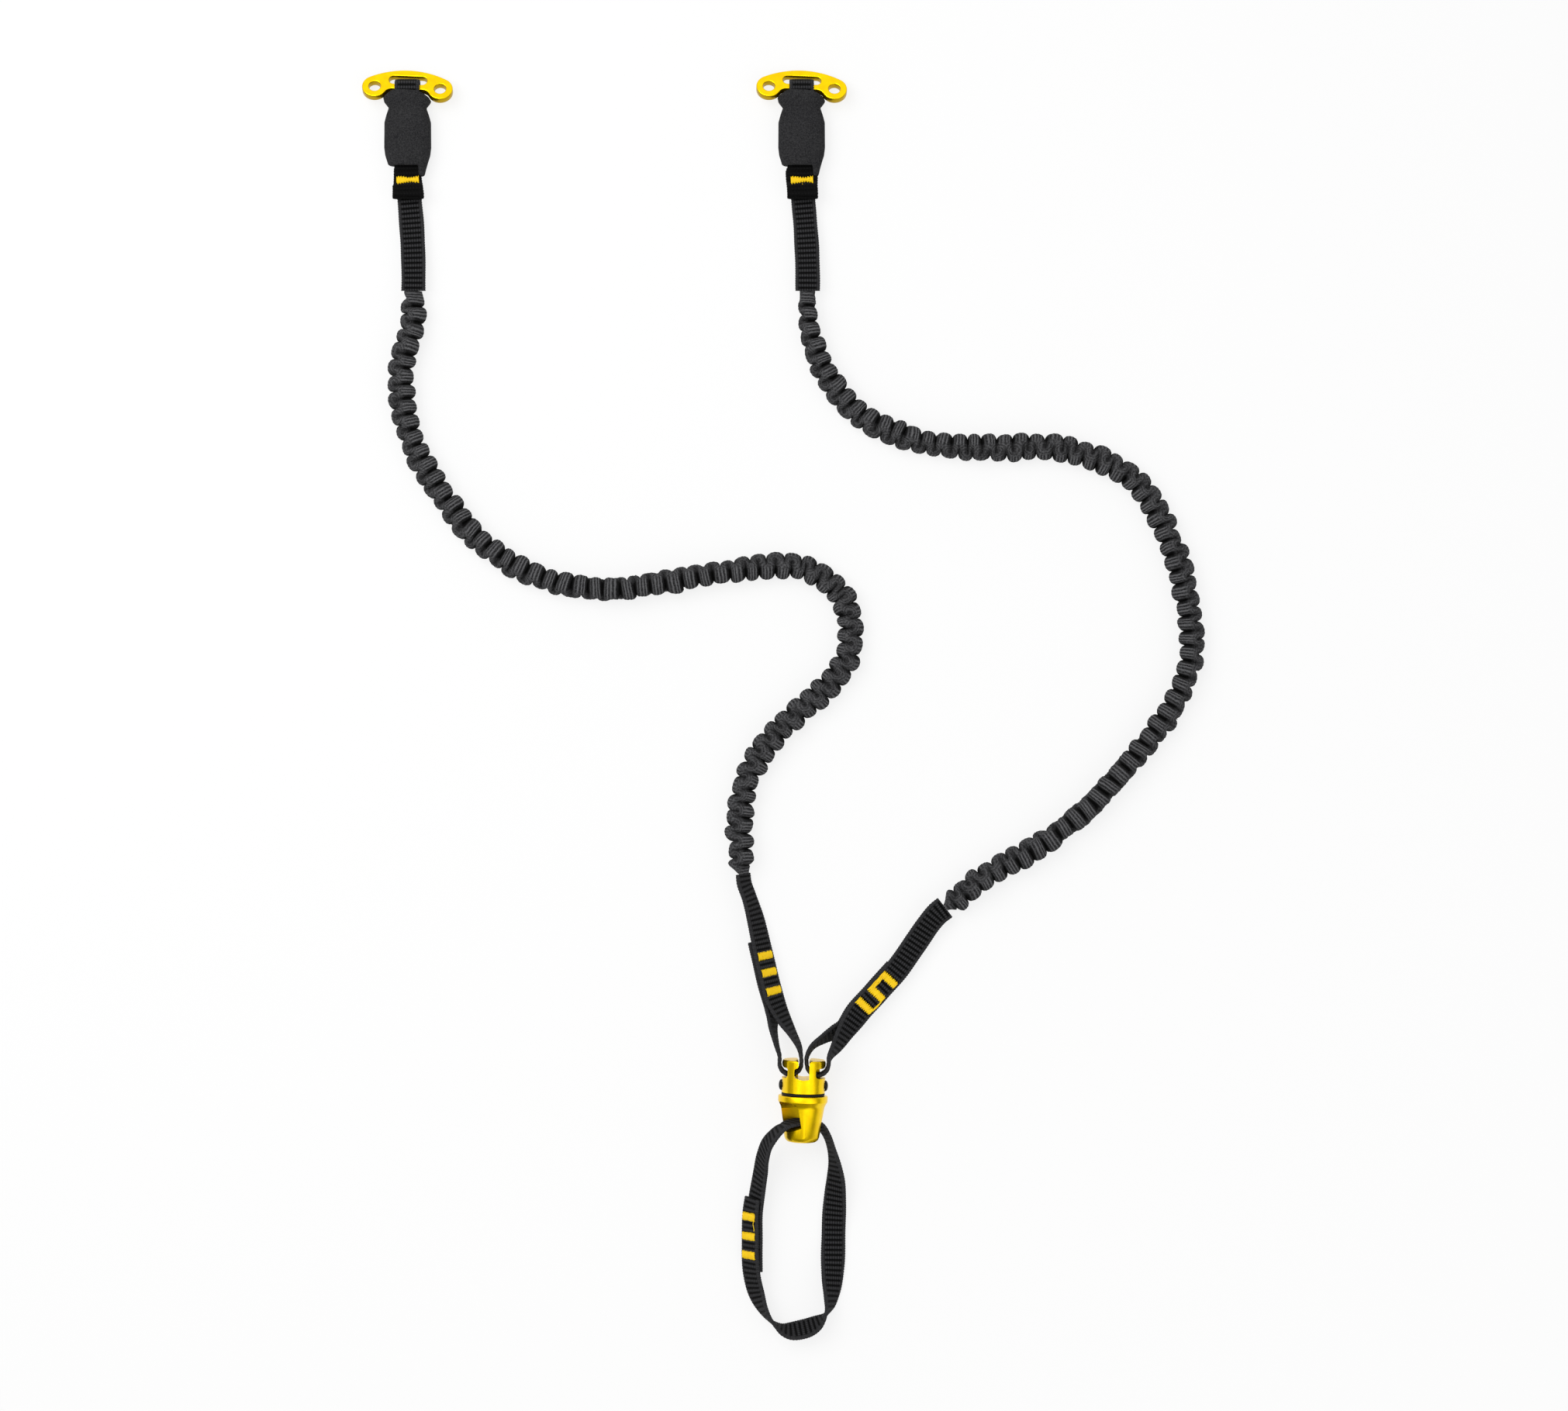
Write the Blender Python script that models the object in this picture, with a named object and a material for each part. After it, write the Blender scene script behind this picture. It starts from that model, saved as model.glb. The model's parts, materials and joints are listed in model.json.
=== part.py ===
"""Twin-arm ice axe leash: two gathered elastic webbing arms on one swivel.

It lies flat, as on a table. +X is to the right, +Y runs from the tie-in loop to the axe
plates, +Z is up. The floor is z = 0 and the origin is under the middle of the hardware.
Sizes are in millimetres and become metres when a mesh is made.
"""

import math

import bmesh
import bpy
import numpy as np
from mathutils import Matrix, Vector

MM = 0.001
GAP = 0.3  # what pieces that touch keep between them

# Webbing, the same for every strap
WEB_WIDTH = 12.5
WEB_THICK = 2.3
WEB_EDGE = 0.6
LAYER_STEP = WEB_THICK + GAP  # one layer of webbing lying on another

# Gathered elastic tube
RIBS = 60
RIB_RADIUS = 7.4
WAIST_RADIUS = 5.9
BORE_RADIUS = 3.6
CORE_RADIUS = 2.6
TUBE_HEIGHT = RIB_RADIUS + 0.2  # its centreline above the floor
TUBE_POINTS = 50

# Axe plate, lying across the strap on the bar between its slot and its lower edge
PLATE_THICK = 4.0
PLATE_EDGE = 0.6
BAR_HEIGHT = 3.2
WRAP_RADIUS = math.hypot(BAR_HEIGHT, PLATE_THICK) / 2 + WEB_THICK / 2 + 0.14  # strap over bar
SLOT_LENGTH = WEB_WIDTH + 7.1
SLOT_HEIGHT = WRAP_RADIUS + WEB_THICK / 2 - BAR_HEIGHT / 2 + 1.5
ARCH_RADIUS = 42.5
ARCH_TOP = BAR_HEIGHT / 2 + SLOT_HEIGHT + 3.8
LOBE_RADIUS = 6.5
LOBE_X = SLOT_LENGTH / 2 + 7.1
HOLE_RADIUS = 3.0
THROAT_RADIUS = 4.0
PLATE_TILT = math.radians(-27)  # the arched side leans down to the floor
PLATE_LEAN = math.radians(-2.5)
BAR_Y = 318.5
BAR_Z = 6.4

# Foam sleeve, at each station: distance under the bar, how far it stands out past the
# strap's edge, underside, top and lean
SLEEVE_STATIONS = (
    (-0.5, 4.35, 0.6, 13.2, 0.09),
    (2.0, 5.35, 0.3, 13.6, 0.09),
    (4.8, 6.25, 0.1, 13.6, 0.09),
    (7.2, 5.75, 0.1, 13.2, 0.09),
    (10.1, 3.45, 0.3, 12.2, 0.09),
    (13.5, 4.65, 0.2, 11.9, 0.06),
    (17.5, 5.75, 0.1, 11.6, 0.02),
    (30.5, 5.85, 0.1, 11.5, 0.0),
    (34.5, 5.35, 0.2, 11.3, 0.0),
    (38.0, 4.25, 0.6, 10.8, 0.0),
    (41.5, 3.25, 1.2, 10.2, 0.0),
    (44.8, 2.45, 2.2, 9.6, 0.0),
)
SLEEVE_FRONT = 39.8  # its foot ends here, but for a tongue on the right
SLEEVE_SIDES = 20
STRAP_Z = 5.8  # the middle of the two layers inside the sleeve
FOLD_END = 55.0  # the hem's turn, measured down from the bar
HEM_LENGTH = 5.0
HEM_RADIUS = 1.35
STRAP_SHIFT = 3.1  # the strap wanders this far sideways on its way to the tube
TUBE_TOP = 214.0

# Bar tacks
TACK_ACROSS = WEB_WIDTH - 2.1
TACK_ALONG = 4.2
TACK_THICK = 0.8
TACK_LIFT = 0.35  # off the webbing, which curves a little under it
TACK_TOOTH = 0.5
TACK_TEETH = 5
LOWER_TACKS = (43.5, 52.5, 62.5), (47.5, 57.0, 66.0)  # down each lower tape from its tube
LOOP_TACKS = (9.8, 19.6, 29.4)  # back from the lap's end

# Swivel: its axis passes through this place, leaning a little from the Y direction
SWIVEL_X = 76.7
SWIVEL_LEAN = math.radians(-1.8)
EYE_Y = -184.2
EYE_BAR = (8.4, 3.9)
EYE_ROUND = 1.5
EYE_WRAP = EYE_BAR[0] / 2 + GAP + WEB_THICK / 2  # the tape's centreline round an eye bar
EYE_OFFSET = EYE_WRAP + WEB_THICK / 2 + 0.2  # the two tapes meet on the axis
MEETING = WEB_THICK / 2 + 0.35  # and pass this far from it just above the eyes
EYE_WIDTH = WEB_WIDTH + 0.7  # between the front and the back post
HEAD_RADIUS = EYE_WIDTH / 2 + 4.6
POST_WIDTH = 3.4
POST_FOOT = 1.7  # rounding into the shoulder
POST_NECK = 1.0  # rounding into the bar
SHOULDER_Y = -191.3
HEAD_FOOT_Y = -199.0
SEAL_THICK = 1.0
FLANGE_RADIUS = HEAD_RADIUS + 1.55
FLANGE_HEIGHT = 3.0
SWIVEL_Z = FLANGE_RADIUS + 0.1
YOKE_LENGTH = 24.0
CONE_RADII = (FLANGE_RADIUS - 1.45, FLANGE_RADIUS - 3.55, FLANGE_RADIUS - 4.15)
AXLE_RADIUS = 3.0
AXLE_HEAD_RADIUS = AXLE_RADIUS + 1.4
AXLE_HEAD_HEIGHT = 1.6
WASHER_THICK = 0.7
RIVET_RADIUS = 1.5
RIVET_HEAD_RADIUS = RIVET_RADIUS + 1.3
RIVET_DOME = 1.3
RIVET_Y = -195.4
SPOT_RADIUS = RIVET_HEAD_RADIUS + 0.4
SPOT_DEPTH = 0.5

# Yoke window: how far it faces round from straight up, and its size
WINDOW_TURN = math.radians(53)
WINDOW_WIDTH = WEB_WIDTH + 2.5
WINDOW_CORNER = 4.0
WINDOW_TOP = 3.0  # under the flange's upper face
CROWN_Y = -228.8  # the rounded bottom bar is part of a cylinder about this line
CROWN_RADIUS = 13.5
FACET_SLOPE = -30  # flat facets at the feet of the yoke's two columns
FACET_REACH = CONE_RADII[1]
FACET_HEIGHT = 5.0
LOOP_RADIUS = CROWN_RADIUS + GAP + 0.1 + WEB_THICK / 2

SEAL_TOP_Y = HEAD_FOOT_Y - GAP
YOKE_TOP_Y = SEAL_TOP_Y - SEAL_THICK - GAP
YOKE_FOOT_Y = YOKE_TOP_Y - YOKE_LENGTH
ROOF_Y = YOKE_TOP_Y - WINDOW_TOP

# Centrelines of the gathered tubes on the floor, from the plate end to the swivel end
LEFT_TUBE = (
    (-124.8, 214.0), (-124.8, 206.4), (-125.0, 199.2), (-128.0, 188.0), (-130.6, 176.0),
    (-131.2, 164.0), (-130.2, 153.0), (-127.2, 141.6), (-122.4, 129.6), (-115.6, 117.2),
    (-106.8, 104.0), (-96.0, 90.4), (-82.8, 78.8), (-67.6, 69.6), (-50.8, 63.4),
    (-33.5, 60.4), (-16.0, 60.6), (2.0, 63.2), (20.0, 66.2), (38.0, 69.4), (54.0, 72.0),
    (68.0, 72.4), (80.8, 69.2), (91.2, 62.4), (98.4, 52.4), (101.2, 40.4), (99.6, 27.2),
    (93.6, 15.6), (83.6, 4.8), (71.6, -5.2), (61.2, -15.6), (52.4, -27.6), (47.0, -40.0),
    (44.2, -54.0), (43.4, -66.4), (44.0, -76.0), (45.3, -86.8),
)
RIGHT_TUBE = (
    (78.6, 214.0), (78.6, 206.4), (79.0, 198.4), (80.8, 189.0), (84.2, 179.4),
    (88.8, 170.2), (94.8, 161.2), (102.4, 152.8), (111.6, 146.0), (122.8, 140.8),
    (136.0, 136.8), (150.0, 134.2), (164.4, 133.2), (178.8, 133.4), (193.2, 133.6),
    (206.8, 132.6), (220.4, 130.0), (233.0, 125.4), (244.2, 118.6), (253.2, 109.2),
    (260.2, 98.0), (266.0, 84.8), (270.6, 70.8), (274.2, 56.4), (276.4, 42.0),
    (276.4, 27.6), (273.6, 14.0), (268.0, 1.2), (259.6, -11.4), (249.6, -24.2),
    (238.4, -37.2), (225.6, -50.4), (211.4, -63.0), (195.4, -73.8), (178.4, -83.4),
    (165.6, -91.8), (158.0, -97.6), (149.6, -104.2),
)

# Lower tapes, down to the eye and back: x, y, z and the strap's turn from standing on edge
LEFT_TAPE = (
    (48.3, -98.6, 7.4, -32), (51.4, -108.9, 7.5, -40), (54.2, -121.0, 8.1, -46),
    (56.4, -130.8, 8.7, -47), (59.2, -142.4, 9.5, -47), (61.8, -151.8, 10.1, -46),
    (66.0, -161.0, SWIVEL_Z - 1.95, -32), (70.6, -168.8, SWIVEL_Z - 1.05, -15),
    (SWIVEL_X - MEETING - 1.0, -175.8, SWIVEL_Z - 0.25, -6),
    (SWIVEL_X - MEETING, -180.8, SWIVEL_Z, 0),
)
LEFT_RETURN = (
    (64.2, -180.8, SWIVEL_Z, 0), (62.4, -174.0, SWIVEL_Z - 0.45, 5), (60.6, -165.6, 11.0, 16),
    (59.3, -158.6, 9.4, 34),
)
RIGHT_TAPE = (
    (141.2, -112.6, 7.0, -80), (134.2, -122.8, 6.4, -80),
    (124.6, -136.4, 6.8, -80), (114.8, -147.4, 8.0, -80), (106.0, -156.8, 9.4, -80),
    (98.8, -166.8, 10.9, -50), (93.6, -175.4, SWIVEL_Z - 0.65, -30),
    (90.2, -180.8, SWIVEL_Z, -12),
)
RIGHT_RETURN = (
    (SWIVEL_X + MEETING, -180.8, SWIVEL_Z, 4),
    (SWIVEL_X + MEETING + 2.8, -175.6, SWIVEL_Z - 0.65, 12), (87.6, -170.4, 10.6, 26),
    (95.0, -164.6, 8.6, 48),
)

# Tie-in loop. The first part climbs from the lap to the window; the second goes on from
# the window, down the right side, along the bottom and up to the lap, where it lies over
# the first part.
LOOP_UP = (
    (51.0, -292.0, 5.6, -40), (51.0, -284.0, 5.6, -40), (51.0, -276.0, 5.6, -40),
    (51.2, -262.0, 5.6, -38),
    (52.2, -254.4, 5.9, -35), (53.2, -248.0, 6.8, -34), (54.4, -240.4, 9.0, -32),
    (55.6, -232.6, 12.6, -28), (57.6, -226.0, 16.6, -26), (60.2, -221.8, 18.8, -22),
    (63.8, -217.8, 19.6, -16), (67.2, -215.6, 19.0, -9),
)
LOOP_DOWN = (
    (84.7, -217.0, 7.6, 20), (88.4, -221.8, 6.6, 15), (90.8, -228.4, 6.5, 15),
    (92.6, -236.4, 6.2, 26), (93.2, -244.4, 5.4, 42), (92.8, -254.0, 3.9, 62),
    (92.2, -266.0, 2.2, 82), (91.9, -278.4, 2.0, 95), (91.7, -287.0, 2.8, 104),
    (91.4, -295.4, 4.3, 121), (90.9, -304.4, 5.8, 143), (89.9, -310.8, 6.3, 160),
    (87.6, -315.2, 6.4, 180), (84.4, -318.4, 6.2, 202), (79.9, -321.0, 5.7, 217),
    (74.4, -322.6, 5.6, 220), (69.8, -323.1, 6.0, 212), (65.8, -322.3, 6.3, 196),
    (62.2, -320.0, 6.4, 180), (59.0, -317.0, 6.4, 169), (55.5, -311.8, 6.2, 156),
    (52.0, -303.4, 5.6, 140), (49.8, -294.0, 6.4, 138),
)
LAP = (1, 4)  # the first and last of LOOP_UP's points under the lap


# Small tools
def clear_scene():
    for obj in list(bpy.data.objects):
        bpy.data.objects.remove(obj)


def material(name, colour, roughness, metallic=0.0):
    made = bpy.data.materials.new(name)
    made.use_nodes = True
    shader = made.node_tree.nodes["Principled BSDF"]
    shader.inputs["Base Color"].default_value = (*colour, 1.0)
    shader.inputs["Roughness"].default_value = roughness
    shader.inputs["Metallic"].default_value = metallic
    return made


def pivot(name, place, parent=None, turn=None):
    """An empty on a joint's axis. place is in millimetres in the world."""
    empty = bpy.data.objects.new(name, None)
    bpy.context.scene.collection.objects.link(empty)
    empty.empty_display_size = 0.01
    world = Matrix.Translation(Vector(place) * MM) @ (turn or Matrix())
    empty.parent = parent
    bpy.context.view_layer.update()
    empty.matrix_world = world
    bpy.context.view_layer.update()
    return empty


def make(name, bm, finish, parent=None, cutter=False):
    """An object from a bmesh in world millimetres, hung under its pivot."""
    bmesh.ops.remove_doubles(bm, verts=bm.verts, dist=1e-4)
    bmesh.ops.recalc_face_normals(bm, faces=bm.faces)
    bmesh.ops.scale(bm, vec=(MM, MM, MM), verts=bm.verts)
    mesh = bpy.data.meshes.new(name)
    bm.to_mesh(mesh)
    bm.free()
    if finish:
        mesh.materials.append(finish)
    obj = bpy.data.objects.new(name, mesh)
    bpy.context.scene.collection.objects.link(obj)
    if parent:
        mesh.transform(parent.matrix_world.inverted())
        obj.parent = parent
    if cutter:
        obj.hide_render = True
        obj.display_type = "WIRE"
    else:
        mesh.shade_smooth()
        mesh.set_sharp_from_angle(angle=math.radians(35))
    return obj


def boolean(obj, other, operation):
    step = obj.modifiers.new(f"{operation.lower()}_{other.name}"[:60], "BOOLEAN")
    step.operation = operation
    step.object = other
    step.solver = "EXACT"


def arc(centre, radius, start, end, count):
    """Points of a circular arc, angles in degrees, both ends included."""
    return [
        (
            centre[0] + radius * math.cos(math.radians(angle)),
            centre[1] + radius * math.sin(math.radians(angle)),
        )
        for angle in np.linspace(start, end, count)
    ]


def rounded(corners, steps=3):
    """A polygon from (x, y, radius) corners, each rounded by its own radius."""
    points = []
    for index, (x, y, radius) in enumerate(corners):
        here = Vector((x, y))
        before = Vector(corners[index - 1][:2]) - here
        after = Vector(corners[(index + 1) % len(corners)][:2]) - here
        if radius == 0:
            points.append((x, y))
            continue
        half = before.angle(after) / 2
        reach = radius / math.tan(half)
        centre = here + (before.normalized() + after.normalized()).normalized() * (
            radius / math.sin(half)
        )
        first = here + before.normalized() * reach - centre
        last = here + after.normalized() * reach - centre
        sweep = first.angle_signed(last)
        for step in range(steps + 1):
            turned_by = Matrix.Rotation(-sweep * step / steps, 2)
            points.append(tuple(centre + turned_by @ first))
    return points


def prism(outline, low, high, frame=None):
    """An outline in X and Y, extruded along Z from low to high, then put in a frame."""
    bm = bmesh.new()
    face = bm.faces.new([bm.verts.new((x, y, low)) for x, y in outline])
    out = bmesh.ops.extrude_face_region(bm, geom=[face])
    top = [item for item in out["geom"] if isinstance(item, bmesh.types.BMVert)]
    bmesh.ops.translate(bm, verts=top, vec=(0, 0, high - low))
    if frame:
        bmesh.ops.transform(bm, matrix=frame, verts=bm.verts)
    return bm


def turned(profile, sides, frame=None, phase=0):
    """A closed (radius, height) profile spun round the Y axis, from phase degrees on."""
    bm = bmesh.new()
    ring = [bm.verts.new((radius, height, 0)) for radius, height in profile]
    edges = [bm.edges.new(pair) for pair in zip(ring, ring[1:] + ring[:1])]
    bmesh.ops.spin(
        bm, geom=ring + edges, axis=(0, 1, 0), cent=(0, 0, 0),
        angle=math.tau, steps=sides, use_merge=True,
    )
    bmesh.ops.remove_doubles(bm, verts=bm.verts, dist=1e-4)
    bmesh.ops.dissolve_degenerate(bm, edges=bm.edges, dist=1e-4)
    start = Matrix.Rotation(math.radians(phase), 4, "Y")
    bmesh.ops.transform(bm, matrix=(frame or Matrix()) @ start, verts=bm.verts)
    return bm


def smooth(points, step):
    """A centripetal Catmull-Rom curve through the points, sampled about every step."""
    keys = np.array(points, float)
    keys = np.vstack([2 * keys[0] - keys[1], keys, 2 * keys[-1] - keys[-2]])
    found = []
    for p0, p1, p2, p3 in zip(keys, keys[1:], keys[2:], keys[3:]):
        gaps = [math.sqrt(math.dist(a[:3], b[:3])) for a, b in ((p0, p1), (p1, p2), (p2, p3))]
        t1, t2, t3 = np.cumsum(gaps)
        count = max(1, round(math.dist(p1[:3], p2[:3]) / step))
        for t in np.linspace(t1, t2, count, endpoint=False):
            a1 = p0 + (p1 - p0) * t / t1
            a2 = p1 + (p2 - p1) * (t - t1) / (t2 - t1)
            a3 = p2 + (p3 - p2) * (t - t2) / (t3 - t2)
            b1 = a1 + (a2 - a1) * t / t2
            b2 = a2 + (a3 - a2) * (t - t1) / (t3 - t1)
            found.append(b1 + (b2 - b1) * (t - t1) / (t2 - t1))
    return np.array(found + [keys[-2]])


def spaced(points, count):
    """The same curve as count points at equal distances along it, with its length."""
    runs = np.r_[0, np.cumsum(np.linalg.norm(np.diff(points[:, :3], axis=0), axis=1))]
    at = np.linspace(0, runs[-1], count)
    return np.column_stack([np.interp(at, runs, column) for column in points.T]), runs[-1]


# Webbing
def strap_frames(route, upright=Vector((0, 0, 1))):
    """Along the strap, across it and out of its face, as a matrix at each route point."""
    places = [Vector(point[:3]) for point in route]
    frames = []
    for index, place in enumerate(places):
        ahead = places[min(index + 1, len(places) - 1)]
        behind = places[max(index - 1, 0)]
        along = (ahead - behind).normalized()
        level = (upright - along * upright.dot(along)).normalized()
        turn = Matrix.Rotation(math.radians(-route[index][3]), 3, along)
        across = turn @ level
        out = along.cross(across)
        frame = Matrix((along, across, out)).transposed().to_4x4()
        frames.append(Matrix.Translation(place) @ frame)
    return frames


def turn_for(along, across):
    """The turn that a route point needs for the strap to lie across a given direction."""
    level = Vector((0, 0, 1)) - along * along.z
    return math.degrees(math.atan2(-across.dot(along.cross(level)), across.dot(level)))


def strap(name, frames, finish, parent):
    """Webbing: its cross-section extruded from frame to frame."""
    half_width = WEB_WIDTH / 2
    half_thick = WEB_THICK / 2
    inner = half_width - WEB_EDGE
    section = (
        (half_width, 0), (inner, half_thick), (-inner, half_thick),
        (-half_width, 0), (-inner, -half_thick), (inner, -half_thick),
    )
    bm = bmesh.new()
    corners = [bm.verts.new(frames[0] @ Vector((0, a, b))) for a, b in section]
    end = bm.faces.new(corners)
    for here, there in zip(frames, frames[1:]):
        out = bmesh.ops.extrude_face_region(bm, geom=[end, *end.edges])["geom"]
        end = next(item for item in out if isinstance(item, bmesh.types.BMFace))
        bmesh.ops.transform(bm, matrix=there @ here.inverted(), verts=end.verts)
    return make(name, bm, finish, parent)


def layer_over(route, first, last):
    """Route points of a second layer under part of a tape, in the opposite direction."""
    frames = strap_frames(route)
    points = []
    for index in range(last, first - 1, -1):
        place = frames[index] @ Vector((0, 0, LAYER_STEP))
        points.append((*place, -route[index][3]))
    return points


def lapped(route, first, last):
    """Route points of a second layer on the other face of part of a tape, the same way."""
    frames = strap_frames(route)
    points = []
    for index in range(first, last + 1):
        place = frames[index] @ Vector((0, 0, -LAYER_STEP))
        points.append((*place, route[index][3] + 180))
    return points


def tack(name, frame, side, finish, parent):
    """A bar tack lying on the strap's face: satin stitches with ragged ends."""
    teeth = []
    half_across = TACK_ACROSS / 2
    for index in range(2 * TACK_TEETH + 1):
        across = -half_across + TACK_ACROSS * index / (2 * TACK_TEETH)
        teeth.append((TACK_ALONG / 2 - TACK_TOOTH * (index % 2), across))
    outline = teeth + [(-along, across) for along, across in reversed(teeth)]
    low = WEB_THICK / 2 + TACK_LIFT
    flip = Matrix.Diagonal((1, 1, side, 1))
    return make(name, prism(outline, low, low + TACK_THICK, frame @ flip), finish, parent)


def frame_at(frames, distance):
    """The frame nearest to a distance along the strap; a negative one counts from its end."""
    places = np.array([frame.translation for frame in frames])
    runs = np.r_[0, np.cumsum(np.linalg.norm(np.diff(places, axis=0), axis=1))]
    wanted = distance if distance >= 0 else runs[-1] + distance
    return frames[int(np.argmin(abs(runs - wanted)))]


# Gathered tube
def round_tube(name, points, radii, finish, parent, cutter=False):
    """A tube of varying radius along points, as a mesh."""
    curve = bpy.data.curves.new(name, "CURVE")
    curve.dimensions = "3D"
    curve.bevel_depth = 1.0
    curve.bevel_resolution = 2
    curve.use_fill_caps = True
    spline = curve.splines.new("POLY")
    spline.points.add(len(points) - 1)
    for target, point, radius in zip(spline.points, points, radii):
        target.co = (*point[:3], 1)
        target.radius = radius
    guide = bpy.data.objects.new(f"{name}_guide", curve)
    bpy.context.scene.collection.objects.link(guide)
    bpy.context.view_layer.update()
    graph = bpy.context.evaluated_depsgraph_get()
    bm = bmesh.new()
    bm.from_mesh(bpy.data.meshes.new_from_object(guide.evaluated_get(graph)))
    bpy.data.objects.remove(guide)
    return make(name, bm, finish, parent, cutter)


def elastic_arm(side, route, sheath_finish, core_finish, parent):
    """The gathered sheath, ribbed outside and bored through, with the elastic in its bore."""
    floor_route = [(x, y, TUBE_HEIGHT) for x, y in route]
    centreline = smooth(floor_route, 2.0)
    ridges, length = spaced(centreline, 2 * RIBS + 1)
    radii = [WAIST_RADIUS if index % 2 == 0 else RIB_RADIUS for index in range(len(ridges))]
    sheath = round_tube(f"{side}_elastic_tube", ridges, radii, sheath_finish, parent)
    inside, _ = spaced(centreline, TUBE_POINTS)
    run_out = (inside[0] - inside[1], inside[-1] - inside[-2])
    through = np.vstack([inside[0] + run_out[0], inside, inside[-1] + run_out[1]])
    bore = round_tube(
        f"{side}_tube_bore", through, [BORE_RADIUS] * len(through), None, parent, cutter=True
    )
    boolean(sheath, bore, "DIFFERENCE")
    round_tube(f"{side}_elastic_core", inside, [CORE_RADIUS] * len(inside), core_finish, parent)
    print(f"{side} gathered tube: {length:.0f} mm long")


# Axe plate and its sleeve
def plate_outline():
    """Half by half: arch, lobe round the hole, throat beside the strap, bar edge."""
    drop = math.sqrt((ARCH_RADIUS - LOBE_RADIUS) ** 2 - LOBE_X**2)
    lobe_y = ARCH_TOP - ARCH_RADIUS + drop
    tangent = math.degrees(math.atan2(drop, LOBE_X))
    bar_low = -BAR_HEIGHT / 2
    throat_y = bar_low - THROAT_RADIUS
    reach = LOBE_RADIUS + THROAT_RADIUS
    throat_x = LOBE_X - math.sqrt(reach**2 - (lobe_y - throat_y) ** 2)
    meet = math.degrees(math.atan2(lobe_y - throat_y, LOBE_X - throat_x))
    arch = arc((0, ARCH_TOP - ARCH_RADIUS), ARCH_RADIUS, 90, tangent, 6)
    lobe = arc((LOBE_X, lobe_y), LOBE_RADIUS, tangent, meet - 180, 14)
    throat = arc((throat_x, throat_y), THROAT_RADIUS, meet, 90, 5)
    right = arch + lobe[1:] + throat[1:]
    left = [(-x, y) for x, y in reversed(right[1:])]
    return right + left, lobe_y


def end_plate(name, finish, parent):
    """A flat plate with a slot, two holes and rounded edges, made as a filled curve."""
    outline, lobe_y = plate_outline()
    slot_low = BAR_HEIGHT / 2
    slot_high = slot_low + SLOT_HEIGHT
    half = SLOT_LENGTH / 2
    slot_round = SLOT_HEIGHT / 2 - 0.05
    slot = rounded(
        [
            (-half, slot_low, slot_round), (half, slot_low, slot_round),
            (half, slot_high, slot_round), (-half, slot_high, slot_round),
        ]
    )
    holes = [arc((x, lobe_y), HOLE_RADIUS, 0, 337.5, 16) for x in (-LOBE_X, LOBE_X)]
    curve = bpy.data.curves.new(name, "CURVE")
    curve.dimensions = "2D"
    curve.fill_mode = "BOTH"
    curve.extrude = (PLATE_THICK / 2 - PLATE_EDGE) * MM
    curve.bevel_depth = PLATE_EDGE * MM
    curve.bevel_resolution = 0
    curve.offset = -PLATE_EDGE * MM
    for ring in [outline, slot, *holes]:
        spline = curve.splines.new("POLY")
        spline.points.add(len(ring) - 1)
        spline.use_cyclic_u = True
        for target, (x, y) in zip(spline.points, ring):
            target.co = (x * MM, y * MM, 0, 1)
    curve.materials.append(finish)
    plate = bpy.data.objects.new(name, curve)
    bpy.context.scene.collection.objects.link(plate)
    plate.parent = parent


def lofted(stations, sides, power):
    """Rounded cross-sections (y, centre x, half width, low z, high z, lean), joined up."""
    bm = bmesh.new()
    rings = []
    for y, middle, half_width, low, high, lean in stations:
        ring = []
        for index in range(sides):
            angle = math.tau * index / sides
            x = math.copysign(abs(math.cos(angle)) ** (2 / power), math.cos(angle))
            z = math.copysign(abs(math.sin(angle)) ** (2 / power), math.sin(angle))
            across = half_width * x
            height = (low + high) / 2 + (high - low) / 2 * z
            ring.append(bm.verts.new((middle + across, y - across * lean, height)))
        rings.append([bm.edges.new(pair) for pair in zip(ring, ring[1:] + ring[:1])])
    for here, there in zip(rings, rings[1:]):
        bmesh.ops.bridge_loops(bm, edges=here + there)
    bmesh.ops.holes_fill(bm, edges=rings[0] + rings[-1], sides=0)
    return bm


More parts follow.
